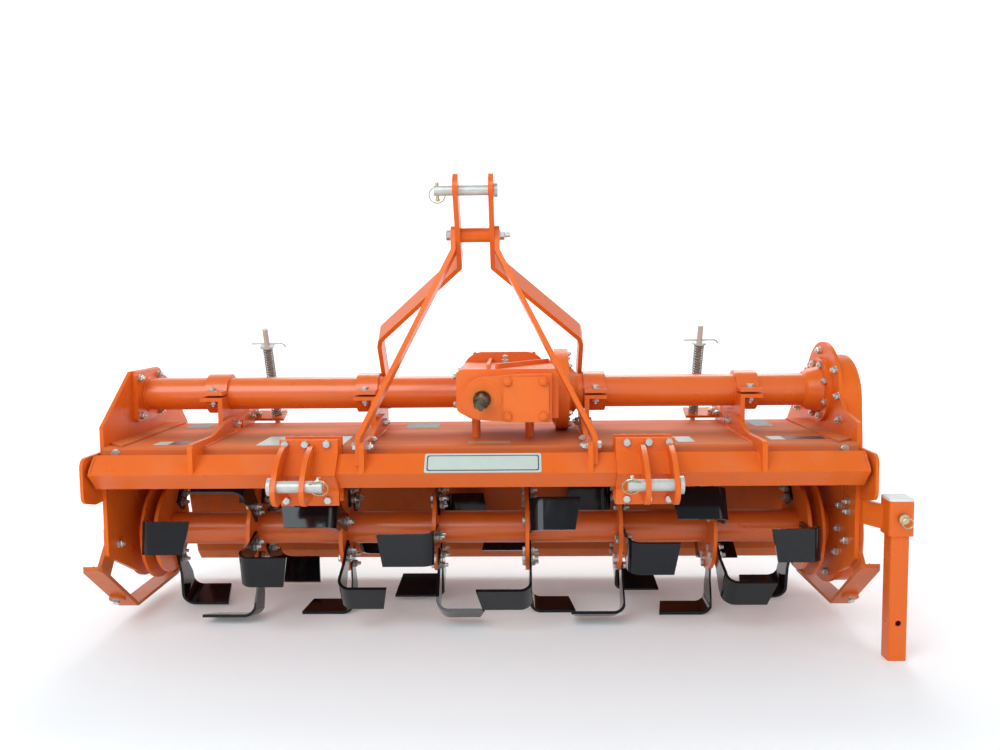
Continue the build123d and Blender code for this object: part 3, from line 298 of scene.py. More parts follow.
def blade_enamel(props, rotor):
    """Dipped black enamel on the blades, orange on the flanges that carry them."""
    finish = Finish("blade_enamel", Coat_Weight=0.12, Coat_Roughness=0.03,
                    Specular_IOR_Level=0.3)
    spot = finish.place()
    back = finish.part(spot, 1) - AXLE.y
    up = finish.part(spot, 2) - AXLE.z
    # flanges stand on odd halves of the pitch from the middle: the fraction is 0.5 at each,
    # and whole pitches are added to keep it from turning negative on the left
    pitches = (finish.part(spot, 0) - AXLE.x) / rotor.pitch + 40
    beside = finish.node("ShaderNodeMath", {"operation": "FRACT"}, {0: pitches}) - 0.5
    away = finish.node("ShaderNodeMath", {"operation": "ABSOLUTE"}, {0: beside})
    reach = finish.node("ShaderNodeMath", {"operation": "SQRT"}, {0: back * back + up * up})
    over_edge, over_rim = 0.0002, 0.001
    flange = (away.under((rotor.flange / 2 + over_edge) / rotor.pitch)
              * reach.under(rotor.flange_radius + over_rim))
    streaks = finish.noise(7.0, 4.0, finish.stretched((1.0, 3.0, 0.5)))
    specks = finish.noise(240.0, 6.0, roughness=0.75)
    rust = finish.ramp(specks * 0.6 + streaks * 0.4, (0.57, 0.0), (0.68, 0.35))
    black = finish.mix(rust, rgb(props.black), rgb(props.rust))
    finish.paint(
        Base_Color=finish.mix(flange, black, rgb(props.orange)),
        Roughness=rust * 0.5 + flange * 0.2 + finish.noise(30.0, 3.0) * 0.10 + 0.06)
    waves, grit = finish.noise(34.0, 3.0), finish.noise(300.0, 2.0)
    finish.bump(waves + grit * 0.15, 0.16, 0.002)
    return finish.material


def plated(name, tone, shade, roughness, metal=1.0):
    """Zinc plating: a bright metal with cloudy, slightly coloured patches."""
    finish = Finish(name, Metallic=metal)
    clouds = finish.noise(70.0, 5.0)
    finish.paint(
        Base_Color=finish.mix(clouds, rgb(tone), rgb(shade)),
        Roughness=finish.noise(140.0, 4.0) * 0.2 + roughness - 0.08)
    finish.bump(finish.noise(600.0, 3.0), 0.12, 0.0006)
    return finish.material


def oiled_steel(props):
    """Turned steel under brown oil, with bare rings."""
    finish = Finish("oiled_steel", Metallic=0.75)
    rings = finish.noise(60.0, 5.0, finish.stretched((1.0, 9.0, 1.0)))
    bare = finish.ramp(rings, (0.38, 0.0), (0.68, 1.0))
    finish.paint(
        Base_Color=finish.mix(bare, rgb(props.oil), rgb(props.bare_steel)),
        Roughness=bare * 0.2 + 0.32)
    finish.bump(finish.noise(400.0, 4.0), 0.3, 0.0008)
    return finish.material


def moulded(name, tone, shade, roughness):
    """Smooth moulded plastic or plain film."""
    finish = Finish(name, Specular_IOR_Level=0.4)
    clouds = finish.noise(26.0, 5.0)
    finish.paint(
        Base_Color=finish.mix(clouds, rgb(tone), rgb(shade)),
        Roughness=finish.noise(90.0, 3.0) * 0.15 + roughness)
    finish.bump(finish.noise(500.0, 2.0), 0.08, 0.0004)
    return finish.material


class FinishProps(bpy.types.PropertyGroup):
    """Colours of the paints and plating."""

    orange: colour_property("Orange", "Enamel where it is thickest", (0.80, 0.150, 0.014))
    orange_deep: colour_property("Deep orange", "Enamel where it is thin", (0.70, 0.112, 0.010))
    cast: colour_property("Casting orange", "Enamel on the castings", (0.80, 0.175, 0.030))
    # on the deck this brown also stands for painted shade and reflection
    soil: colour_property("Soil", "Brown dust on the deck and the skids", (0.40, 0.17, 0.085))
    dust: colour_property("Dust", "Dry dust on level faces", (0.62, 0.36, 0.22))
    grime: colour_property("Grime", "Grime in streaks and stains", (0.36, 0.13, 0.05))
    primer: colour_property("Chips", "Metal and primer in paint chips", (0.30, 0.10, 0.05))
    black: colour_property("Black", "Blade enamel", (0.006, 0.007, 0.009))
    rust: colour_property("Rust dust", "Rust dust on the blades", (0.07, 0.045, 0.030))
    oil: colour_property("Oil", "Oil film on the input shaft", (0.035, 0.026, 0.018))
    bare_steel: colour_property("Bare steel", "Steel under the oil", (0.17, 0.12, 0.08))
    zinc: colour_property("Zinc", "White zinc plating", (0.68, 0.69, 0.66))
    zinc_dull: colour_property("Dull zinc", "Zinc where it is clouded", (0.46, 0.46, 0.42))
    yellow_zinc: colour_property("Yellow zinc", "Yellow plating on pins", (0.66, 0.50, 0.22))
    spring_wire: colour_property("Spring wire", "Dull plating on the coils", (0.29, 0.30, 0.28))
    rod: colour_property("Rods", "Plating on the spring rods", (0.60, 0.62, 0.58))


# plastics and films: tone, shade and roughness
MOULDINGS = {
    "cap": ("white_cap", (0.80, 0.81, 0.80), (0.66, 0.67, 0.65), 0.35),
    "plate": ("pale_film", (0.56, 0.63, 0.58), (0.48, 0.55, 0.50), 0.24),
    "dark": ("dark_film", (0.05, 0.06, 0.06), (0.03, 0.03, 0.04), 0.25),
    "green": ("green_film", (0.04, 0.16, 0.09), (0.03, 0.10, 0.06), 0.3),
    "tan": ("tan_film", (0.50, 0.30, 0.10), (0.42, 0.25, 0.08), 0.4),
}

# the built pieces that aren't in plain orange; the rotor's stations are all in "blade"
BUILT_PIECES = {
    "cast": ("gearbox_housing", "gearbox_front_cover", "gearbox_rear_cover", "tube_adapter"),
    "gloss": ("main_tube_left", "main_tube_right", "clamp_straps", "rotor_tube"),
    "matt": ("mast_spacer", "side_plate_left", "side_plate_right", "gusset_plates",
             "cheek_plates", "gear_case"),
    "soiled": ("skids", "tailboard", "rear_skirt"),
    "deck": ("deck",),
    "rod": ("top_link_pin", "hitch_pins", "spring_rod_left", "spring_rod_right"),
    "spring": ("spring_left", "spring_right"),
    "yellow": ("stand_pin",),
    "shaft": ("pto_shaft",),
}
MATERIALS = {}


class TILLER_OT_finishes(bpy.types.Operator):
    """Make every finish and give each built piece its own"""

    bl_idname = "tiller.finishes"
    bl_label = "Finishes"

    def execute(self, context):
        props = context.scene.tiller_finish
        MATERIALS.update({
            "orange": enamel(props, "orange_enamel", 0.16),
            "gloss": enamel(props, "glossy_orange_enamel", 0.5),
            "matt": enamel(props, "matt_orange_enamel", 0.02, 0.1),
            "soiled": enamel(props, "soiled_orange_enamel", 0.0, 1.0),
            "deck": dusty_shaded_deck_enamel(props),
            "cast": cast_enamel(props),
            "blade": blade_enamel(props, context.scene.tiller_rotor),
            "zinc": plated("zinc_plate", props.zinc, props.zinc_dull, 0.28, 0.8),
            "yellow": plated("yellow_zinc", props.yellow_zinc, props.zinc_dull, 0.28),
            "spring": plated("spring_zinc", props.spring_wire, props.bare_steel, 0.34, 0.5),
            "rod": plated("rod_zinc", props.rod, props.zinc_dull, 0.36, 0.3),
            "shaft": oiled_steel(props),
        })
        for key, settings in MOULDINGS.items():
            MATERIALS[key] = moulded(*settings)
        chosen = {name: key for key, names in BUILT_PIECES.items() for name in names}
        for name, node in NODES.items():
            station = name.startswith("rotor_station")
            key = "blade" if station else chosen.get(name, "orange")
            node.data.materials.clear()
            node.data.materials.append(MATERIALS[key])
        return {"FINISHED"}


# ---------------------------------------------------------------- mesh tools
# parts of a hexagon head, as shares of its size across flats
WASHER_RIM, HEAD_HEIGHT, STUD_RADIUS = 0.64, 0.5, 0.30
WASHER = 1.9  # thickness in mm


class Workpiece:
    """One mesh in the making; sizes in mm, places in metres."""

    def __init__(self):
        self.mesh = bmesh.new()

    def loop(self, points):
        """Corners of one loop of a skin."""
        return [self.mesh.verts.new(point) for point in points]

    def skin(self, loops, ring=False, lid=True):
        """Join loops in order: into a ring, or into a body with a floor and a lid."""
        pairs = list(zip(loops, loops[1:]))
        if ring:
            pairs.append((loops[-1], loops[0]))
        for low, high in pairs:
            for here in range(len(low)):
                there = (here + 1) % len(low)
                self.mesh.faces.new((low[here], low[there], high[there], high[here]))
        if not ring:
            self.mesh.faces.new(loops[0][::-1])
            if lid:
                self.mesh.faces.new(loops[-1])

    def turned(self, seat, axis, rings, sides=20, spin=0.0):
        """A closed body of rings (radius, height) stacked along an axis from its seat."""
        facing = UP.rotation_difference(axis).to_matrix().to_4x4()
        place = Matrix.Translation(seat) @ facing
        loops = []
        for radius, height in rings:
            points = [Vector((radius * cos(angle + spin), radius * sin(angle + spin), height))
                      for angle in turn_in(sides)]
            loops.append(self.loop([place @ (point / 1000) for point in points]))
        self.skin(loops)

    def hex_head(self, seat, axis, across, spin=0.0, stud=0.0, washer=True):
        """A hexagon head or nut on its washer, with the stud's end standing out of a nut."""
        radius = across / 2 / cos(pi / 6)
        floor = WASHER if washer else 0.0
        if washer:
            rim = across * WASHER_RIM
            self.turned(seat, axis, [(rim, 0), (rim, 1.3), (rim - 0.7, WASHER)])
        top = floor + across * HEAD_HEIGHT
        rings = [(radius * 0.95, floor), (radius, floor + 0.7), (radius, top - 1.8),
                 (radius * 0.86, top)]
        self.turned(seat, axis, rings, 6, spin)
        if stud:
            thread = across * STUD_RADIUS
            self.turned(seat, axis, [(thread, top - 1), (thread, top + stud - 1.2),
                                     (thread - 1.2, top + stud)], 12)

    def tube(self, points, radius, ring=False, sides=10):
        """A round bar along points; the radius is one number or one for each point."""
        count = len(points)
        radii = radius if isinstance(radius, list) else [radius] * count
        side = None
        loops = []
        for index, point in enumerate(points):
            before = points[index - 1] if index or ring else point
            after = points[(index + 1) % count] if index < count - 1 or ring else point
            run = (after - before).normalized()
            if side is None:
                side = run.orthogonal().normalized()
            side = (side - run * side.dot(run)).normalized()
            other = run.cross(side)
            loops.append(self.loop([
                point + (side * cos(angle) + other * sin(angle)) * radii[index] / 1000
                for angle in turn_in(sides)]))
        self.skin(loops, ring)

    def weld(self, start, end, radius=3.2):
        """A weld bead from start to end, with the ripple of its passes."""
        between_passes = 2.2
        count = max(4, int((end - start).length * 1000 / between_passes))
        points = []
        radii = []
        for step in range(count + 1):
            t = step / count
            wander = 0.35 * sin(step * 1.7) + 0.25 * sin(step * 0.61 + 1.3)
            points.append(start.lerp(end, t) + UP * wander / 1000)
            ripple = 0.9 + 0.16 * sin(step * 2.4)
            tapered_ends = min(1, 0.4 + 3 * t, 3.4 - 3 * t)
            radii.append(radius * ripple * tapered_ends)
        self.tube(points, radii, sides=8)

    def sheet(self, corners, normal, thickness):
        """A thin sheet over corners, lifted along its normal, with a bevelled rim."""
        lift = normal / 1000
        centre = sum(corners, Vector()) / len(corners)
        rim = [corner + lift * thickness * 0.7 for corner in corners]
        top = [corner.lerp(centre, 0.002) + lift * thickness for corner in corners]
        self.skin([self.loop(corners), self.loop(rim), self.loop(top)])

    def built(self, name, material, smooth=True):
        """Write the mesh as an object."""
        bmesh.ops.recalc_face_normals(self.mesh, faces=self.mesh.faces)
        data = bpy.data.meshes.new(name)
        self.mesh.to_mesh(data)
        self.mesh.free()
        data.materials.append(material)
        if smooth:
            for face in data.polygons:
                face.use_smooth = True
            data.set_sharp_from_angle(angle=radians(32))
        piece = bpy.data.objects.new(name, data)
        bpy.context.scene.collection.objects.link(piece)
        return piece

    def finish(self, name, material, body, slot, smooth=True):
        """Write the mesh as a piece that rides on a body."""
        piece = self.built(name, MATERIALS[material], smooth)
        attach(piece, body)
        return piece


def rounded(width, height, radius, steps=5):
    """Corners of a rounded rectangle about the origin, in order."""
    corners = []
    for turn, (cx, cy) in enumerate(((1, 1), (-1, 1), (-1, -1), (1, -1))):
        for step in range(steps + 1):
            angle = pi / 2 * (turn + step / steps)
            corners.append((cx * (width / 2 - radius) + radius * cos(angle),
                            cy * (height / 2 - radius) + radius * sin(angle)))
    return corners


def bolt_circle(count, first, radius):
    """Number and two offsets of each bolt on a circle; the first angle is in degrees."""
    for number in range(count):
        angle = radians(360 / count * number + first)
        yield number, radius * cos(angle), radius * sin(angle)


# ---------------------------------------------------------------- fasteners
class FastenerProps(bpy.types.PropertyGroup):
    """Sizes of the bolts, across flats."""

    spacer: length_property("Spacer", "Across flats, the mast spacer's bolt", 0.022)
    large: length_property("Large", "Across flats, web, mast and strut bolts", 0.019)
    bracket: length_property("Bracket", "Across flats, hitch bracket bolts", 0.018)
    medium: length_property("Medium", "Across flats, clamp and plate bolts", 0.017)
    small: length_property("Small", "Across flats, adapter bolts", 0.014)
    cover: length_property("Cover", "Across flats, the gearbox's rear cover", 0.009)


# y and z of nuts inside the side plates: round the gear case, by the stand's arm, on the left
CASE_NUTS = (
    (39, 729), (-85, 684), (-107, 617), (-126, 557), (128, 672), (221, 550), (-140, 335),
    (-132, 271), (-122, 206), (-48, 129), (46, 112), (124, 180), (140, 262), (120, 345),
)
ARM_NUTS = ((-196, 358), (-197, 332), (-189, 254))
LEFT_NUTS = ((-184, 252), (150, 300))
# the bolts of each wear pad: where the pad sits on its runner, and the ramp's slope
PAD_BOLT = (975, -140, 92.9)
RAMP = atan2(162, 204)
BEARING_CAP_RIM = 6  # thickness in mm


def plate_bolts(piece, sizes):
    """Bolts on the side plates: tube flanges, gear case, stand, bearing cap and plugs."""
    medium = mm(sizes.medium)
    # left tube flange: nuts inside, heads outside the side plate
    for dy in (-64, 64):
        for dz in (-51, 51):
            y, z = TUBE_Y + dy, 622 + dz
            piece.hex_head(at(-FLANGE_FACE, y, z), ACROSS, medium, dy, stud=5)
            piece.hex_head(at(-PLATE_OUTSIDE, y, z), -ACROSS, medium, dz)
    # right tube flange
    for number, dy, dz in bolt_circle(8, 22.5, 75):
        seat = at(FLANGE_FACE, TUBE_Y + dy, TUBE_Z + dz)
        piece.hex_head(seat, -ACROSS, medium, number, stud=4, washer=False)
    for y, z in CASE_NUTS:
        piece.hex_head(at(PLATE_INSIDE, y, z), -ACROSS, medium, y, stud=4)
    for y, z in ARM_NUTS:
        piece.hex_head(at(PLATE_INSIDE, y, z), -ACROSS, medium, z, stud=7)
    for y, z in LEFT_NUTS:
        piece.hex_head(at(-PLATE_INSIDE, y, z), ACROSS, medium, z, stud=6)
    for number, dy, dz in bolt_circle(6, 30, 50):
        seat = at(-PLATE_OUTSIDE - BEARING_CAP_RIM, dy, ROTOR_Z + dz)
        piece.hex_head(seat, -ACROSS, medium, number, washer=False)
    # filler and drain plugs of the gear case
    for z in (640, 124):
        piece.hex_head(at(CASE_FACE, 0, z), ACROSS, mm(sizes.large))


def half_frame_bolts(piece, sizes, side):
    """Bolts that both halves of the frame carry; side is -1 on the left and 1 on the right."""
    large, medium = mm(sizes.large), mm(sizes.medium)
    outward, inward = ACROSS * side, -ACROSS * side
    # hitch brackets, above and below the beam
    for x in (365, 418, 467):
        for z in (531, 392):
            front, rear = at(side * x, BRACKET_FRONT, z), at(side * x, BRACKET_BACK, z)
            piece.hex_head(front, -BACK, mm(sizes.bracket), x + z, washer=False)
            piece.hex_head(rear, BACK, medium, x)
    # clamps round the top tube
    for x in CLAMPS_X:
        for y in (TUBE_Y - CLAMP_REACH, TUBE_Y + CLAMP_REACH):
            piece.hex_head(at(side * x, y, CLAMP_TOP), UP, medium, y)
            piece.hex_head(at(side * x, y, CLAMP_UNDER), -UP, medium, x, stud=6)
    # gussets and spring brackets
    for near, far in GUSSETS_X:
        piece.hex_head(at(side * near, -4, 542), inward, large, near, stud=6)
        piece.hex_head(at(side * far, -4, 542), outward, large, 2)
    for y in (150, 215):
        piece.hex_head(at(side * SPRING_BRACKET_X, y, 541), inward, medium, y, stud=7)
    # mast foot and mast brace
    piece.hex_head(at(side * MAST_NEAR, 142, 590), inward, large, 1, stud=6)
    piece.hex_head(at(side * MAST_FAR, -294, 522), outward, large, 2)
    piece.hex_head(at(side * MAST_NEAR, -294, 522), inward, large, 1, stud=6)
    piece.hex_head(at(side * MAST_NEAR, -207, 526), inward, mm(sizes.small), 1, stud=5)
    # deck's front lip near its ends
    piece.hex_head(at(side * 911, -252.1, 502), -BACK, medium, 3)
    # wear pads low on the ramps, 8 mm thick
    x, y, z = PAD_BOLT
    slope = Vector((0, -sin(RAMP), -cos(RAMP)))
    piece.hex_head(at(side * x, y, z) + slope * 0.008, slope, medium, 4)
    # skid struts on the side plates
    for y, z in ((-187, 253), (210, 270)):
        piece.hex_head(at(side * STRUT_FACE, y, z), outward, large, y)


class TILLER_OT_frame_bolts(bpy.types.Operator):
    """Bolts and nuts on the frame"""

    bl_idname = "tiller.frame_bolts"
    bl_label = "Frame bolts"

    def execute(self, context):
        sizes = context.scene.tiller_fastener
        zinc = Workpiece()
        plate_bolts(zinc, sizes)
        for side in (-1, 1):
            half_frame_bolts(zinc, sizes, side)
        zinc.finish("frame_bolts", "zinc", "frame", "zinc")
        return {"FINISHED"}


# radius and height of each ring, from the seat
COLLAR = ((44.9, 0), (46.5, 1.0), (54.4, 13), (57.5, 24), (61.5, 38), (64.5, 46.4))
BEARING_CAP = ((64, 0), (64, 5), (63, BEARING_CAP_RIM), (36, BEARING_CAP_RIM), (34, 8),
               (33, 18), (30, 22), (22, 25), (8, 26))
BREATHER = ((6.0, 9), (6.0, 14), (7.6, 15), (7.6, 19), (5.5, 21.5), (2.0, 22.5))


class TILLER_OT_turned_parts(bpy.types.Operator):
    """Flared collar at the top tube's right-hand flange, and the left bearing's cap"""

    bl_idname = "tiller.turned_parts"
    bl_label = "Turned parts"

    def execute(self, context):
        for name, rings, seat, axis in (
                ("tube_end_cone", COLLAR, at(885, TUBE_Y, TUBE_Z), ACROSS),
                ("bearing_cap", BEARING_CAP, at(-PLATE_OUTSIDE, 0, ROTOR_Z), -ACROSS)):
            part = Workpiece()
            part.turned(seat, axis, rings, 48)
            part.finish(name, "orange", "frame", "orange_paint")
        return {"FINISHED"}


class TILLER_OT_gearbox_bolts(bpy.types.Operator):
    """Bolts of the gearbox: painted on its covers, plated on its flanges"""

    bl_idname = "tiller.gearbox_bolts"
    bl_label = "Gearbox bolts"

    def execute(self, context):
        sizes = context.scene.tiller_fastener
        medium = mm(sizes.medium)
        painted = Workpiece()
        # front cover, each head in a turned spot
        for x in (76.5, 165.5):
            for z in (588, 675.5):
                seat = at(x, -243, z)
                painted.turned(seat, -BACK, [(12.5, 0), (12.5, 1.2), (11.4, 2.2)], 24)
                painted.hex_head(seat, -BACK, mm(sizes.large), x + z, stud=2.0)
        # rear cover: a circle cut short on all four sides
        for number, dx, dz in bolt_circle(10, 18, 1.25):
            x = 65 + 114 * max(-1, min(1, dx))
            z = 654 + 71 * max(-1, min(1, dz))
            painted.hex_head(at(x, 80, z), BACK, mm(sizes.cover), number)
        painted.finish("gearbox_cover_bolts", "cast", "frame", "orange_paint")
        plain = Workpiece()
        for number, dy, dz in bolt_circle(9, 15, 99):
            seat = at(240, TUBE_Y + dy, 629.5 + dz)
            plain.hex_head(seat, ACROSS, mm(sizes.small), number, stud=4, washer=False)
        for y, z in ((-167, 684), (-160, 608), (45, 684)):
            plain.hex_head(at(-54, y, z), -ACROSS, medium, z)
        plug = at(68, 20, 703)
        plain.hex_head(plug, UP, medium, 1)
        plain.turned(plug, UP, BREATHER)
        plain.finish("gearbox_flange_bolts", "zinc", "frame", "zinc")
        return {"FINISHED"}


class RotorProps(bpy.types.PropertyGroup):
    """How the rotor is laid out, for its bolts and its paint."""

    pitch: length_property("Pitch", "Distance between flanges", 0.25)
    flange: length_property("Flange", "Thickness of a flange", 0.010)
    flange_radius: length_property("Flange radius", "Reach of a flange's orange paint", 0.120)
    shank: length_property("Shank", "Thickness of a blade's shank", 0.008)
    left_shank: length_property("Left shank", "Thickness of a left-hand shank", 0.005)


# station, angle of its first right-hand blade above straight ahead, its blades' hands
STATIONS = (
    (1, 8, (1,)), (2, -14, (1, -1)), (3, -36, (1, -1)), (4, -60, (1, -1)),
    (5, 22, (1, -1)), (6, -6, (1, -1)), (7, -32, (1, -1)), (8, -58, (-1,)),
)
MIDDLE_STATION = 4.5
LAST_STATION = 8  # its blades are on the near side of its flange


class TILLER_OT_blade_bolts(bpy.types.Operator):
    """Two bolts through each blade and its flange"""

    bl_idname = "tiller.blade_bolts"
    bl_label = "Blade bolts"

    def execute(self, context):
        rotor = context.scene.tiller_rotor
        size = mm(context.scene.tiller_fastener.medium)
        half_flange = mm(rotor.flange) / 2
        zinc = Workpiece()
        for station, first, hands in STATIONS:
            middle = (station - MIDDLE_STATION) * mm(rotor.pitch)
            way = -1 if station == LAST_STATION else 1
            head_x = middle - way * half_flange
            for hand in hands:
                thin = hand < 0 and station != LAST_STATION
                shank = mm(rotor.left_shank if thin else rotor.shank)
                nut_x = middle + way * (half_flange + shank)
                for blade in range(3):
                    angle = radians(first + (0 if hand > 0 else 60) + 120 * blade)
                    for reach in (80, 108):
                        y, z = -reach * cos(angle), ROTOR_Z + reach * sin(angle)
                        zinc.hex_head(at(nut_x, y, z), ACROSS * way, size, angle + reach,
                                      stud=9)
                        zinc.hex_head(at(head_x, y, z), -ACROSS * way, size, angle,
                                      washer=False)
        zinc.finish("blade_bolts", "zinc", "rotor", "zinc")
        return {"FINISHED"}


# ---------------------------------------------------------------- pins and springs
def wire_ring(piece, middle, first, second, radius, wire, steps):
    """A closed ring of wire round a middle, in the plane of two directions."""
    points = [middle + (first * cos(angle) + second * sin(angle)) * radius / 1000
              for angle in turn_in(steps)]
    piece.tube(points, wire, ring=True, sides=8)


def linchpin(piece, seat, axis, across, ring, slip=0.001):
    """A linchpin: its pin stands across the shaft's end and its sprung ring hangs round it."""
    across = across.normalized()
    third = axis.cross(across)
    if third.y > 0:
        third = -third
    piece.tube([seat - across * 0.021, seat + across * 0.021], 4.2, sides=12)
    head = seat + across * 0.019
    piece.turned(head, across, [(4.6, 0), (5.6, 1.2), (5.6, 5), (4.0, 6.5)], 16)
    middle = seat + across * slip + third * 0.007
    # the ring tips 2 mm towards the pin's head
    wire_ring(piece, middle, across + third * (2 / ring), axis, ring, 1.6, 28)


class TILLER_OT_linchpins(bpy.types.Operator):
    """Linchpins of the top link, the lower links and the stand, and the mast spacer's bolt"""

    bl_idname = "tiller.linchpins"
    bl_label = "Linchpins"

    def execute(self, context):
        pins = Workpiece()
        linchpin(pins, at(-86, -305, 1138), -ACROSS, Vector((0, 0.35, -0.94)), 19, 0.009)
        for side in (-1, 1):
            seat = at(side * 364, -406, 446)
            linchpin(pins, seat, -ACROSS * side, Vector((0, -0.4, 0.92)), 22)
        pins.finish("linchpins", "yellow", "frame", "zinc")
        ring = Workpiece()
        wire_ring(ring, at(1019, -371.5, 343), ACROSS - BACK * 0.125, UP, 12, 1.5, 24)
        ring.finish("stand_pin_ring", "yellow", "frame", "zinc")
        spacer = Workpiece()
        size = mm(context.scene.tiller_fastener.spacer)
        for side in (-1, 1):
            stud = 14 if side > 0 else 0
            spacer.hex_head(at(side * 60, -221.4, 1038.4), ACROSS * side, size, 1, stud=stud)
        spacer.finish("mast_spacer_bolt", "zinc", "frame", "zinc")
        return {"FINISHED"}


class SpringProps(bpy.types.PropertyGroup):
    """The two coil springs."""

    wire: length_property("Wire", "Thickness of the wire", 0.004)
    turns: bpy.props.FloatProperty(name="Turns", description="Turns of each coil", default=28.5,
                                   min=3)


# the spring rods lean forward
ROD_LEAN = Vector((0, -0.3611, 0.9325))
COTTER_Z = 757
STEPS_A_TURN = 20


def on_rod(side, z):
    """Point on a spring rod's axis at a height in mm."""
    return at(side * 630, 336 - (z - 250) * 0.3873, z)


def coil(start, end, radius, wire, turns):
    """Points of a coil whose end turns lie flat against their seats; sizes in metres."""
    other = ROD_LEAN.cross(ACROSS)
    flat = wire / (end - start).length
    points = []
    for step in range(int(turns * STEPS_A_TURN) + 1):
        turn = step / STEPS_A_TURN
        if turn < 1:
            rise = flat * turn
        elif turn > turns - 1:
            rise = 1 - flat * (turns - turn)
        else:
            rise = flat + (1 - 2 * flat) * (turn - 1) / (turns - 2)
        reach = ACROSS * cos(2 * pi * turn) + other * sin(2 * pi * turn)
        points.append(start.lerp(end, rise) + reach * radius)
    return points


class TILLER_OT_springs(bpy.types.Operator):
    """Coil springs round the spring rods, and the cross pins above their washers"""

    bl_idname = "tiller.springs"
    bl_label = "Springs"

    def execute(self, context):
        props = context.scene.tiller_spring
        wire = mm(props.wire)
        for name, side in SIDES:
            low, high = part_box(f"spring_{name}")
            outer = (high.x - low.x) / 2
            tilt = outer * ROD_LEAN.y
            foot = on_rod(side, (low.z - tilt) * 1000)
            head = on_rod(side, (high.z + tilt) * 1000)
            inset = ROD_LEAN * wire / 2 / 1000
            radius = outer - wire / 2 / 1000
            spring = Workpiece()
            spring.tube(coil(foot + inset, head - inset, radius, wire / 1000, props.turns),
                        wire / 2, sides=8)
            piece = spring.finish(f"coil_spring_{name}", "spring", f"rod_{name}", "zinc")
            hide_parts(f"spring_{name}")
            seat = on_rod(side, COTTER_Z)
            pin = Workpiece()
            pin.tube([seat - ACROSS * 0.045, seat + ACROSS * 0.045], 2.4)
            pin.tube([seat + ACROSS * 0.044, seat + ACROSS * 0.050 - ROD_LEAN * 0.004,
                      seat + ACROSS * 0.053 - ROD_LEAN * 0.011], 2.4)
            pin.finish(f"spring_cotter_{name}", "rod", f"rod_{name}", "zinc")
        return {"FINISHED"}


# ---------------------------------------------------------------- plates and welds
# layers of the sign: width, height, tone and lift off the beam, in mm
SIGN_LAYERS = (
    ("beam_plate", 284, 56, "plate", 0.0),
    ("beam_plate_line", 272, 45, "dark", 0.5),
    ("beam_plate_face", 267, 40, "plate", 0.62),
)
# x, y, width, depth and tone of each plate on the deck
DECK_PLATES = (
    (-452, -158, 222, 142, "plate"), (-830, 126, 66, 74, "green"),
    (-814, -186, 38, 50, "plate"), (-764, -182, 60, 48, "dark"),
    (-172, 115, 92, 110, "green"), (28, -203, 108, 34, "tan"),
    (528, -172, 44, 86, "plate"), (798, 117, 54, 128, "dark"),
    (766, -160, 38, 54, "plate"), (838, -160, 104, 46, "dark"),
)


class TILLER_OT_plates(bpy.types.Operator):
    """Blank sign on the beam and blank plates on the deck"""

    bl_idname = "tiller.plates"
    bl_label = "Blank plates"

    def execute(self, context):
        # on the beam's upper front face, which leans back at 45 degrees
        slope = Vector((0, 1, 1)).normalized()
        normal = Vector((0, -1, 1)).normalized()
        centre = at(16, -316.3, 483.6)
        for name, width, height, tone, lift in SIGN_LAYERS:
            corners = [centre + ACROSS * x / 1000 + slope * y / 1000 + normal * lift / 1000
                       for x, y in rounded(width, height, 5)]
            layer = Workpiece()
            layer.sheet(corners, normal, 0.6)
            layer.finish(name, tone, "frame", "orange_paint", smooth=False)
        films = {}
        for x, y, width, depth, tone in DECK_PLATES:
            corners = [at(x + dx, y + dy, DECK_FILM_Z) for dx, dy in rounded(width, depth, 3)]
            films.setdefault(tone, Workpiece()).sheet(corners, UP, 0.5)
        for tone, film in films.items():
            film.finish(f"deck_plates_{tone}", tone, "frame", "orange_paint", smooth=False)
        return {"FINISHED"}


# x of the faces that are welded down: the webs on beam and deck, the ears on their brackets
WEB_FACES = (270, 282, 686, 698)
EAR_FACES = (395.5, 407.5, 462.5, 474.5)


def half_frame_welds(beads, side):
    """Beads that both halves of the frame carry; side is -1 on the left and 1 on the right."""
    for x in (side * face for face in WEB_FACES):
        beads.weld(at(x, -322, 477), at(x, -296, 503))
        beads.weld(at(x, -246, 517), at(x, 40, 517))
    for x in (side * face for face in EAR_FACES):
        beads.weld(at(x, -308, 524), at(x, -308, 506), 2.6)
        beads.weld(at(x, -310, 504), at(x, -350, 464), 2.6)
        beads.weld(at(x, -350, 460), at(x, -310, 420), 2.6)
    # side plate to deck and beam, and the runner's bend
    beads.weld(at(side * 940, -252, 464), at(side * 940, -294, 506))
    beads.weld(at(side * 942, -296, 504), at(side * 942, -336, 464))
    beads.weld(at(side * 966, -242, 187), at(side * 966, -284, 221), 2.8)


class TILLER_OT_welds(bpy.types.Operator):
    """Weld beads where the frame's plates meet"""

    bl_idname = "tiller.welds"
    bl_label = "Weld beads"

    def execute(self, context):
        beads = Workpiece()
        for side in (-1, 1):
            half_frame_welds(beads, side)
        # tube to flange, both ends
        for x in (-930.5, 897):
            points = []
            for step, angle in enumerate(turn_in(48)):
                ripple = 45.5 + 0.5 * sin(step * 2.3)
                points.append(at(x, TUBE_Y + ripple * cos(angle), TUBE_Z + ripple * sin(angle)))
            beads.tube(points, 3.4, ring=True, sides=8)
        # stand arm to its socket
        beads.weld(at(985, -318, 316), at(985, -318, 374), 3.4)
        beads.weld(at(986, -304, 378.5), at(986, -320, 378.5), 2.6)
        beads.finish("weld_beads", "orange", "frame", "orange_paint")
        return {"FINISHED"}


# the cap's section: share of its outline, and height in mm
STAND_CAP = ((0.99, 392.1), (1.0, 393.0), (1.0, 396.0), (0.97, 398.2), (0.86, 399.8),
             (0.5, 400.6))


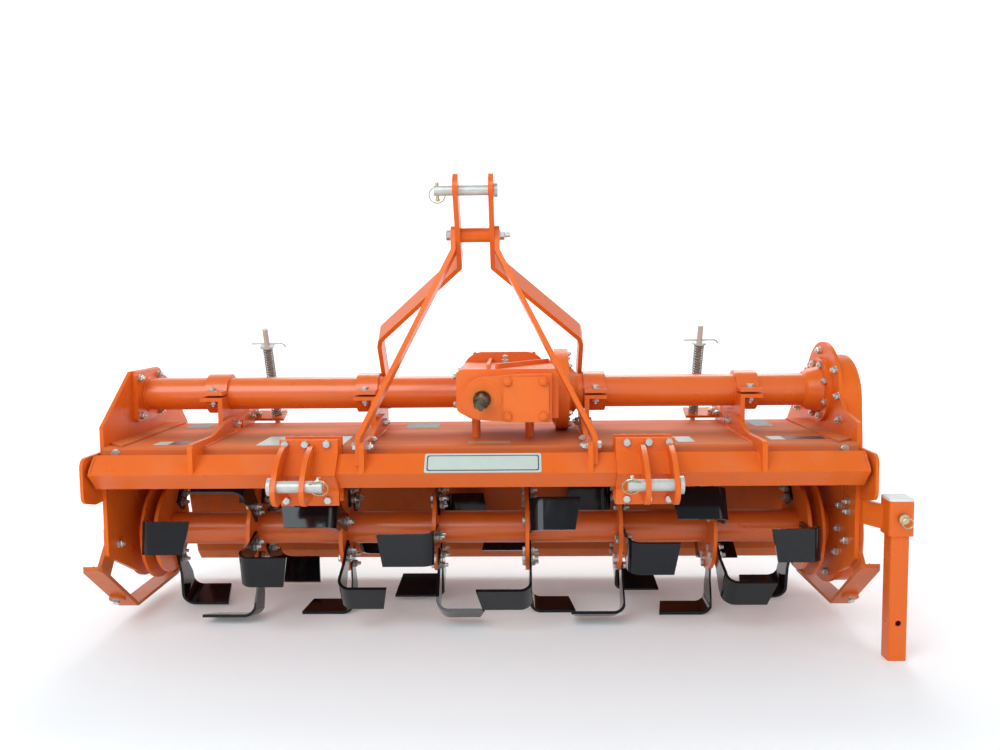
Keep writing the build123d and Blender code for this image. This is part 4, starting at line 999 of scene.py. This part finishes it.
class TILLER_OT_stand_cap(bpy.types.Operator):
    """White plug in the top of the stand's leg"""

    bl_idname = "tiller.stand_cap"
    bl_label = "Stand cap"

    def execute(self, context):
        cap = Workpiece()
        outline = rounded(60, 60, 8, 6)
        cap.skin([cap.loop([at(1012 + x * share, -327 + y * share, z) for x, y in outline])
                  for share, z in STAND_CAP])
        cap.finish("stand_cap", "cap", "stand_leg", "zinc")
        return {"FINISHED"}


# ---------------------------------------------------------------- stage
class StageProps(bpy.types.PropertyGroup):
    """The studio."""

    floor: colour_property("Floor", "Tone of the floor and the wall", (0.90, 0.90, 0.90))
    glow: bpy.props.FloatProperty(
        name="Glow", description="Light that the floor gives off", default=0.12, min=0)
    wall_glow: bpy.props.FloatProperty(
        name="Wall glow", description="Light that the wall gives off", default=0.60, min=0)
    sky: bpy.props.FloatProperty(
        name="Sky", description="Strength of the soft light all round", default=0.44, min=0)
    lens: bpy.props.FloatProperty(
        name="Lens", description="Focal length", default=32.02, min=10, unit="CAMERA")


# the floor in metres: its level part, the radius of its sweep, and the wall
LEVEL, SWEEP, WALL_TOP, WALL_RISE = 9, 5, 11, 5
# name, place, aim, width, height, power and tint
LAMPS = (
    ("key", (-1.4, -3.3, 3.2), (0, 0, 0.5), 3.6, 2.8, 132, (0.88, 0.95, 1.0)),
    ("fill", (3.4, -3.2, 2.2), (0, 0, 0.5), 2.0, 2.0, 22, (1, 1, 1)),
    ("back", (0.3, 3.2, 3.6), (0, 0.6, 0.6), 4.0, 2.0, 95, (1, 1, 1)),
)
# the camera's place in mm, and its turn right, tilt down and roll in degrees
CAMERA_PLACE = (100.7, -2447.75, 876.14)
CAMERA_TURNS = (-1.1037, 4.7872, -0.5454)


def studio_floor(props):
    """A round floor of pale paper that sweeps up into a wall, highest behind the machine."""
    paper = Finish("paper_floor", Specular_IOR_Level=0.1, Emission_Strength=1.0)
    depth = paper.part(paper.place(), 1)
    clouds = paper.noise(1.5, 3.0)
    paper.paint(
        Base_Color=paper.mix(clouds, rgb(props.floor), rgb(props.floor * 0.99)),
        Emission_Color=paper.ramp(depth / 10, (0.12, props.glow), (0.80, props.wall_glow)),
        Roughness=paper.noise(20.0) * 0.1 + 0.75)
    # reach, height, and how much higher it stands behind than at the sides
    profile = [(4, 0, 0)]
    for angle in (radians(degrees) for degrees in range(0, 91, 6)):
        profile.append((LEVEL + SWEEP * sin(angle), SWEEP - SWEEP * cos(angle), 0))
    profile.append((LEVEL + SWEEP, WALL_TOP, WALL_RISE))
    floor = Workpiece()
    floor.skin([floor.loop([(reach * cos(angle), reach * sin(angle), height + rise * sin(angle))
                            for angle in turn_in(72)])
                for reach, height, rise in profile], lid=False)
    floor.built("floor", paper.material)


def studio_light(scene, strength):
    """A soft dome, and the lamps."""
    world = bpy.data.worlds.new("studio")
    world.use_nodes = True
    dome = Bench(world.node_tree)
    upward = dome.part(dome.node("ShaderNodeTexCoord", output="Generated"), 2)
    # from the horizon to the zenith
    sky = dome.ramp(upward, (0.0, 0.50), (0.25, (0.62, 0.64, 0.67, 1)),
                    (0.75, (0.84, 0.93, 1.0, 1)))
    background = world.node_tree.nodes["Background"]
    dome.feed(background.inputs["Color"], sky)
    dome.feed(background.inputs["Strength"], strength)
    scene.world = world
    for name, place, aim, width, height, power, tint in LAMPS:
        light = bpy.data.lights.new(name, "AREA")
        light.shape = "RECTANGLE"
        light.size = width
        light.size_y = height
        light.energy = power
        light.color = tint
        lamp = bpy.data.objects.new(name, light)
        lamp.location = place
        way = Vector(aim) - Vector(place)
        lamp.rotation_euler = way.to_track_quat("-Z", "Y").to_euler()
        scene.collection.objects.link(lamp)


def studio_camera(scene, focal_length):
    """The camera, in front of the machine and a little above its deck."""
    yaw, pitch, roll = map(radians, CAMERA_TURNS)
    ahead = Vector((sin(yaw), cos(yaw), 0))
    right = Vector((cos(yaw), -sin(yaw), 0))
    forward = ahead * cos(pitch) - UP * sin(pitch)
    upward = UP * cos(pitch) + ahead * sin(pitch)
    rolled_right = right * cos(roll) + upward * sin(roll)
    rolled_up = upward * cos(roll) - right * sin(roll)
    lens = bpy.data.cameras.new("camera")
    lens.sensor_width = 36
    lens.lens = focal_length
    camera = bpy.data.objects.new("camera", lens)
    basis = Matrix((rolled_right, rolled_up, -forward)).transposed().to_4x4()
    camera.matrix_world = Matrix.Translation(at(*CAMERA_PLACE)) @ basis
    scene.collection.objects.link(camera)
    bpy.context.scene.camera = camera


class TILLER_OT_stage(bpy.types.Operator):
    """Pale floor, soft light and the camera"""

    bl_idname = "tiller.stage"
    bl_label = "Stage"

    def execute(self, context):
        props = context.scene.tiller_stage
        studio_floor(props)
        studio_light(context.scene, props.sky)
        studio_camera(context.scene, props.lens)
        context.scene.view_settings.view_transform = "Standard"
        return {"FINISHED"}


# ---------------------------------------------------------------- add-on
class TILLER_PT_sidebar(bpy.types.Panel):
    """Lists the steps and their sizes"""

    bl_label = "Tiller"
    bl_idname = "TILLER_PT_sidebar"
    bl_space_type = "VIEW_3D"
    bl_region_type = "UI"
    bl_category = "Tiller"

    def draw(self, context):
        for step in STEPS:
            self.layout.operator(step.bl_idname)
        for key in GROUPS:
            group = getattr(context.scene, key)
            box = self.layout.box()
            for name in group.__annotations__:
                box.prop(group, name)


STEPS = (
    TILLER_OT_finishes, TILLER_OT_frame_bolts, TILLER_OT_turned_parts,
    TILLER_OT_gearbox_bolts, TILLER_OT_blade_bolts, TILLER_OT_linchpins, TILLER_OT_springs,
    TILLER_OT_plates, TILLER_OT_welds, TILLER_OT_stand_cap, TILLER_OT_stage,
)
GROUPS = {
    "tiller_finish": FinishProps, "tiller_fastener": FastenerProps,
    "tiller_rotor": RotorProps, "tiller_spring": SpringProps, "tiller_stage": StageProps,
}


def register():
    """Make the steps, their sizes and the panel known."""
    for key, group in GROUPS.items():
        bpy.utils.register_class(group)
        setattr(bpy.types.Scene, key, bpy.props.PointerProperty(type=group))
    for step in STEPS:
        bpy.utils.register_class(step)
    bpy.utils.register_class(TILLER_PT_sidebar)


def unregister():
    """Take them away again, in the other order."""
    bpy.utils.unregister_class(TILLER_PT_sidebar)
    for step in reversed(STEPS):
        bpy.utils.unregister_class(step)
    for key, group in reversed(GROUPS.items()):
        delattr(bpy.types.Scene, key)
        bpy.utils.unregister_class(group)


def main():
    """Run every step in order."""
    register()
    bpy.ops.tiller.finishes()
    bpy.ops.tiller.frame_bolts()
    bpy.ops.tiller.turned_parts()
    bpy.ops.tiller.gearbox_bolts()
    bpy.ops.tiller.blade_bolts()
    bpy.ops.tiller.linchpins()
    bpy.ops.tiller.springs()
    bpy.ops.tiller.plates()
    bpy.ops.tiller.welds()
    bpy.ops.tiller.stand_cap()
    bpy.ops.tiller.stage()


if __name__ == "__main__":
    main()
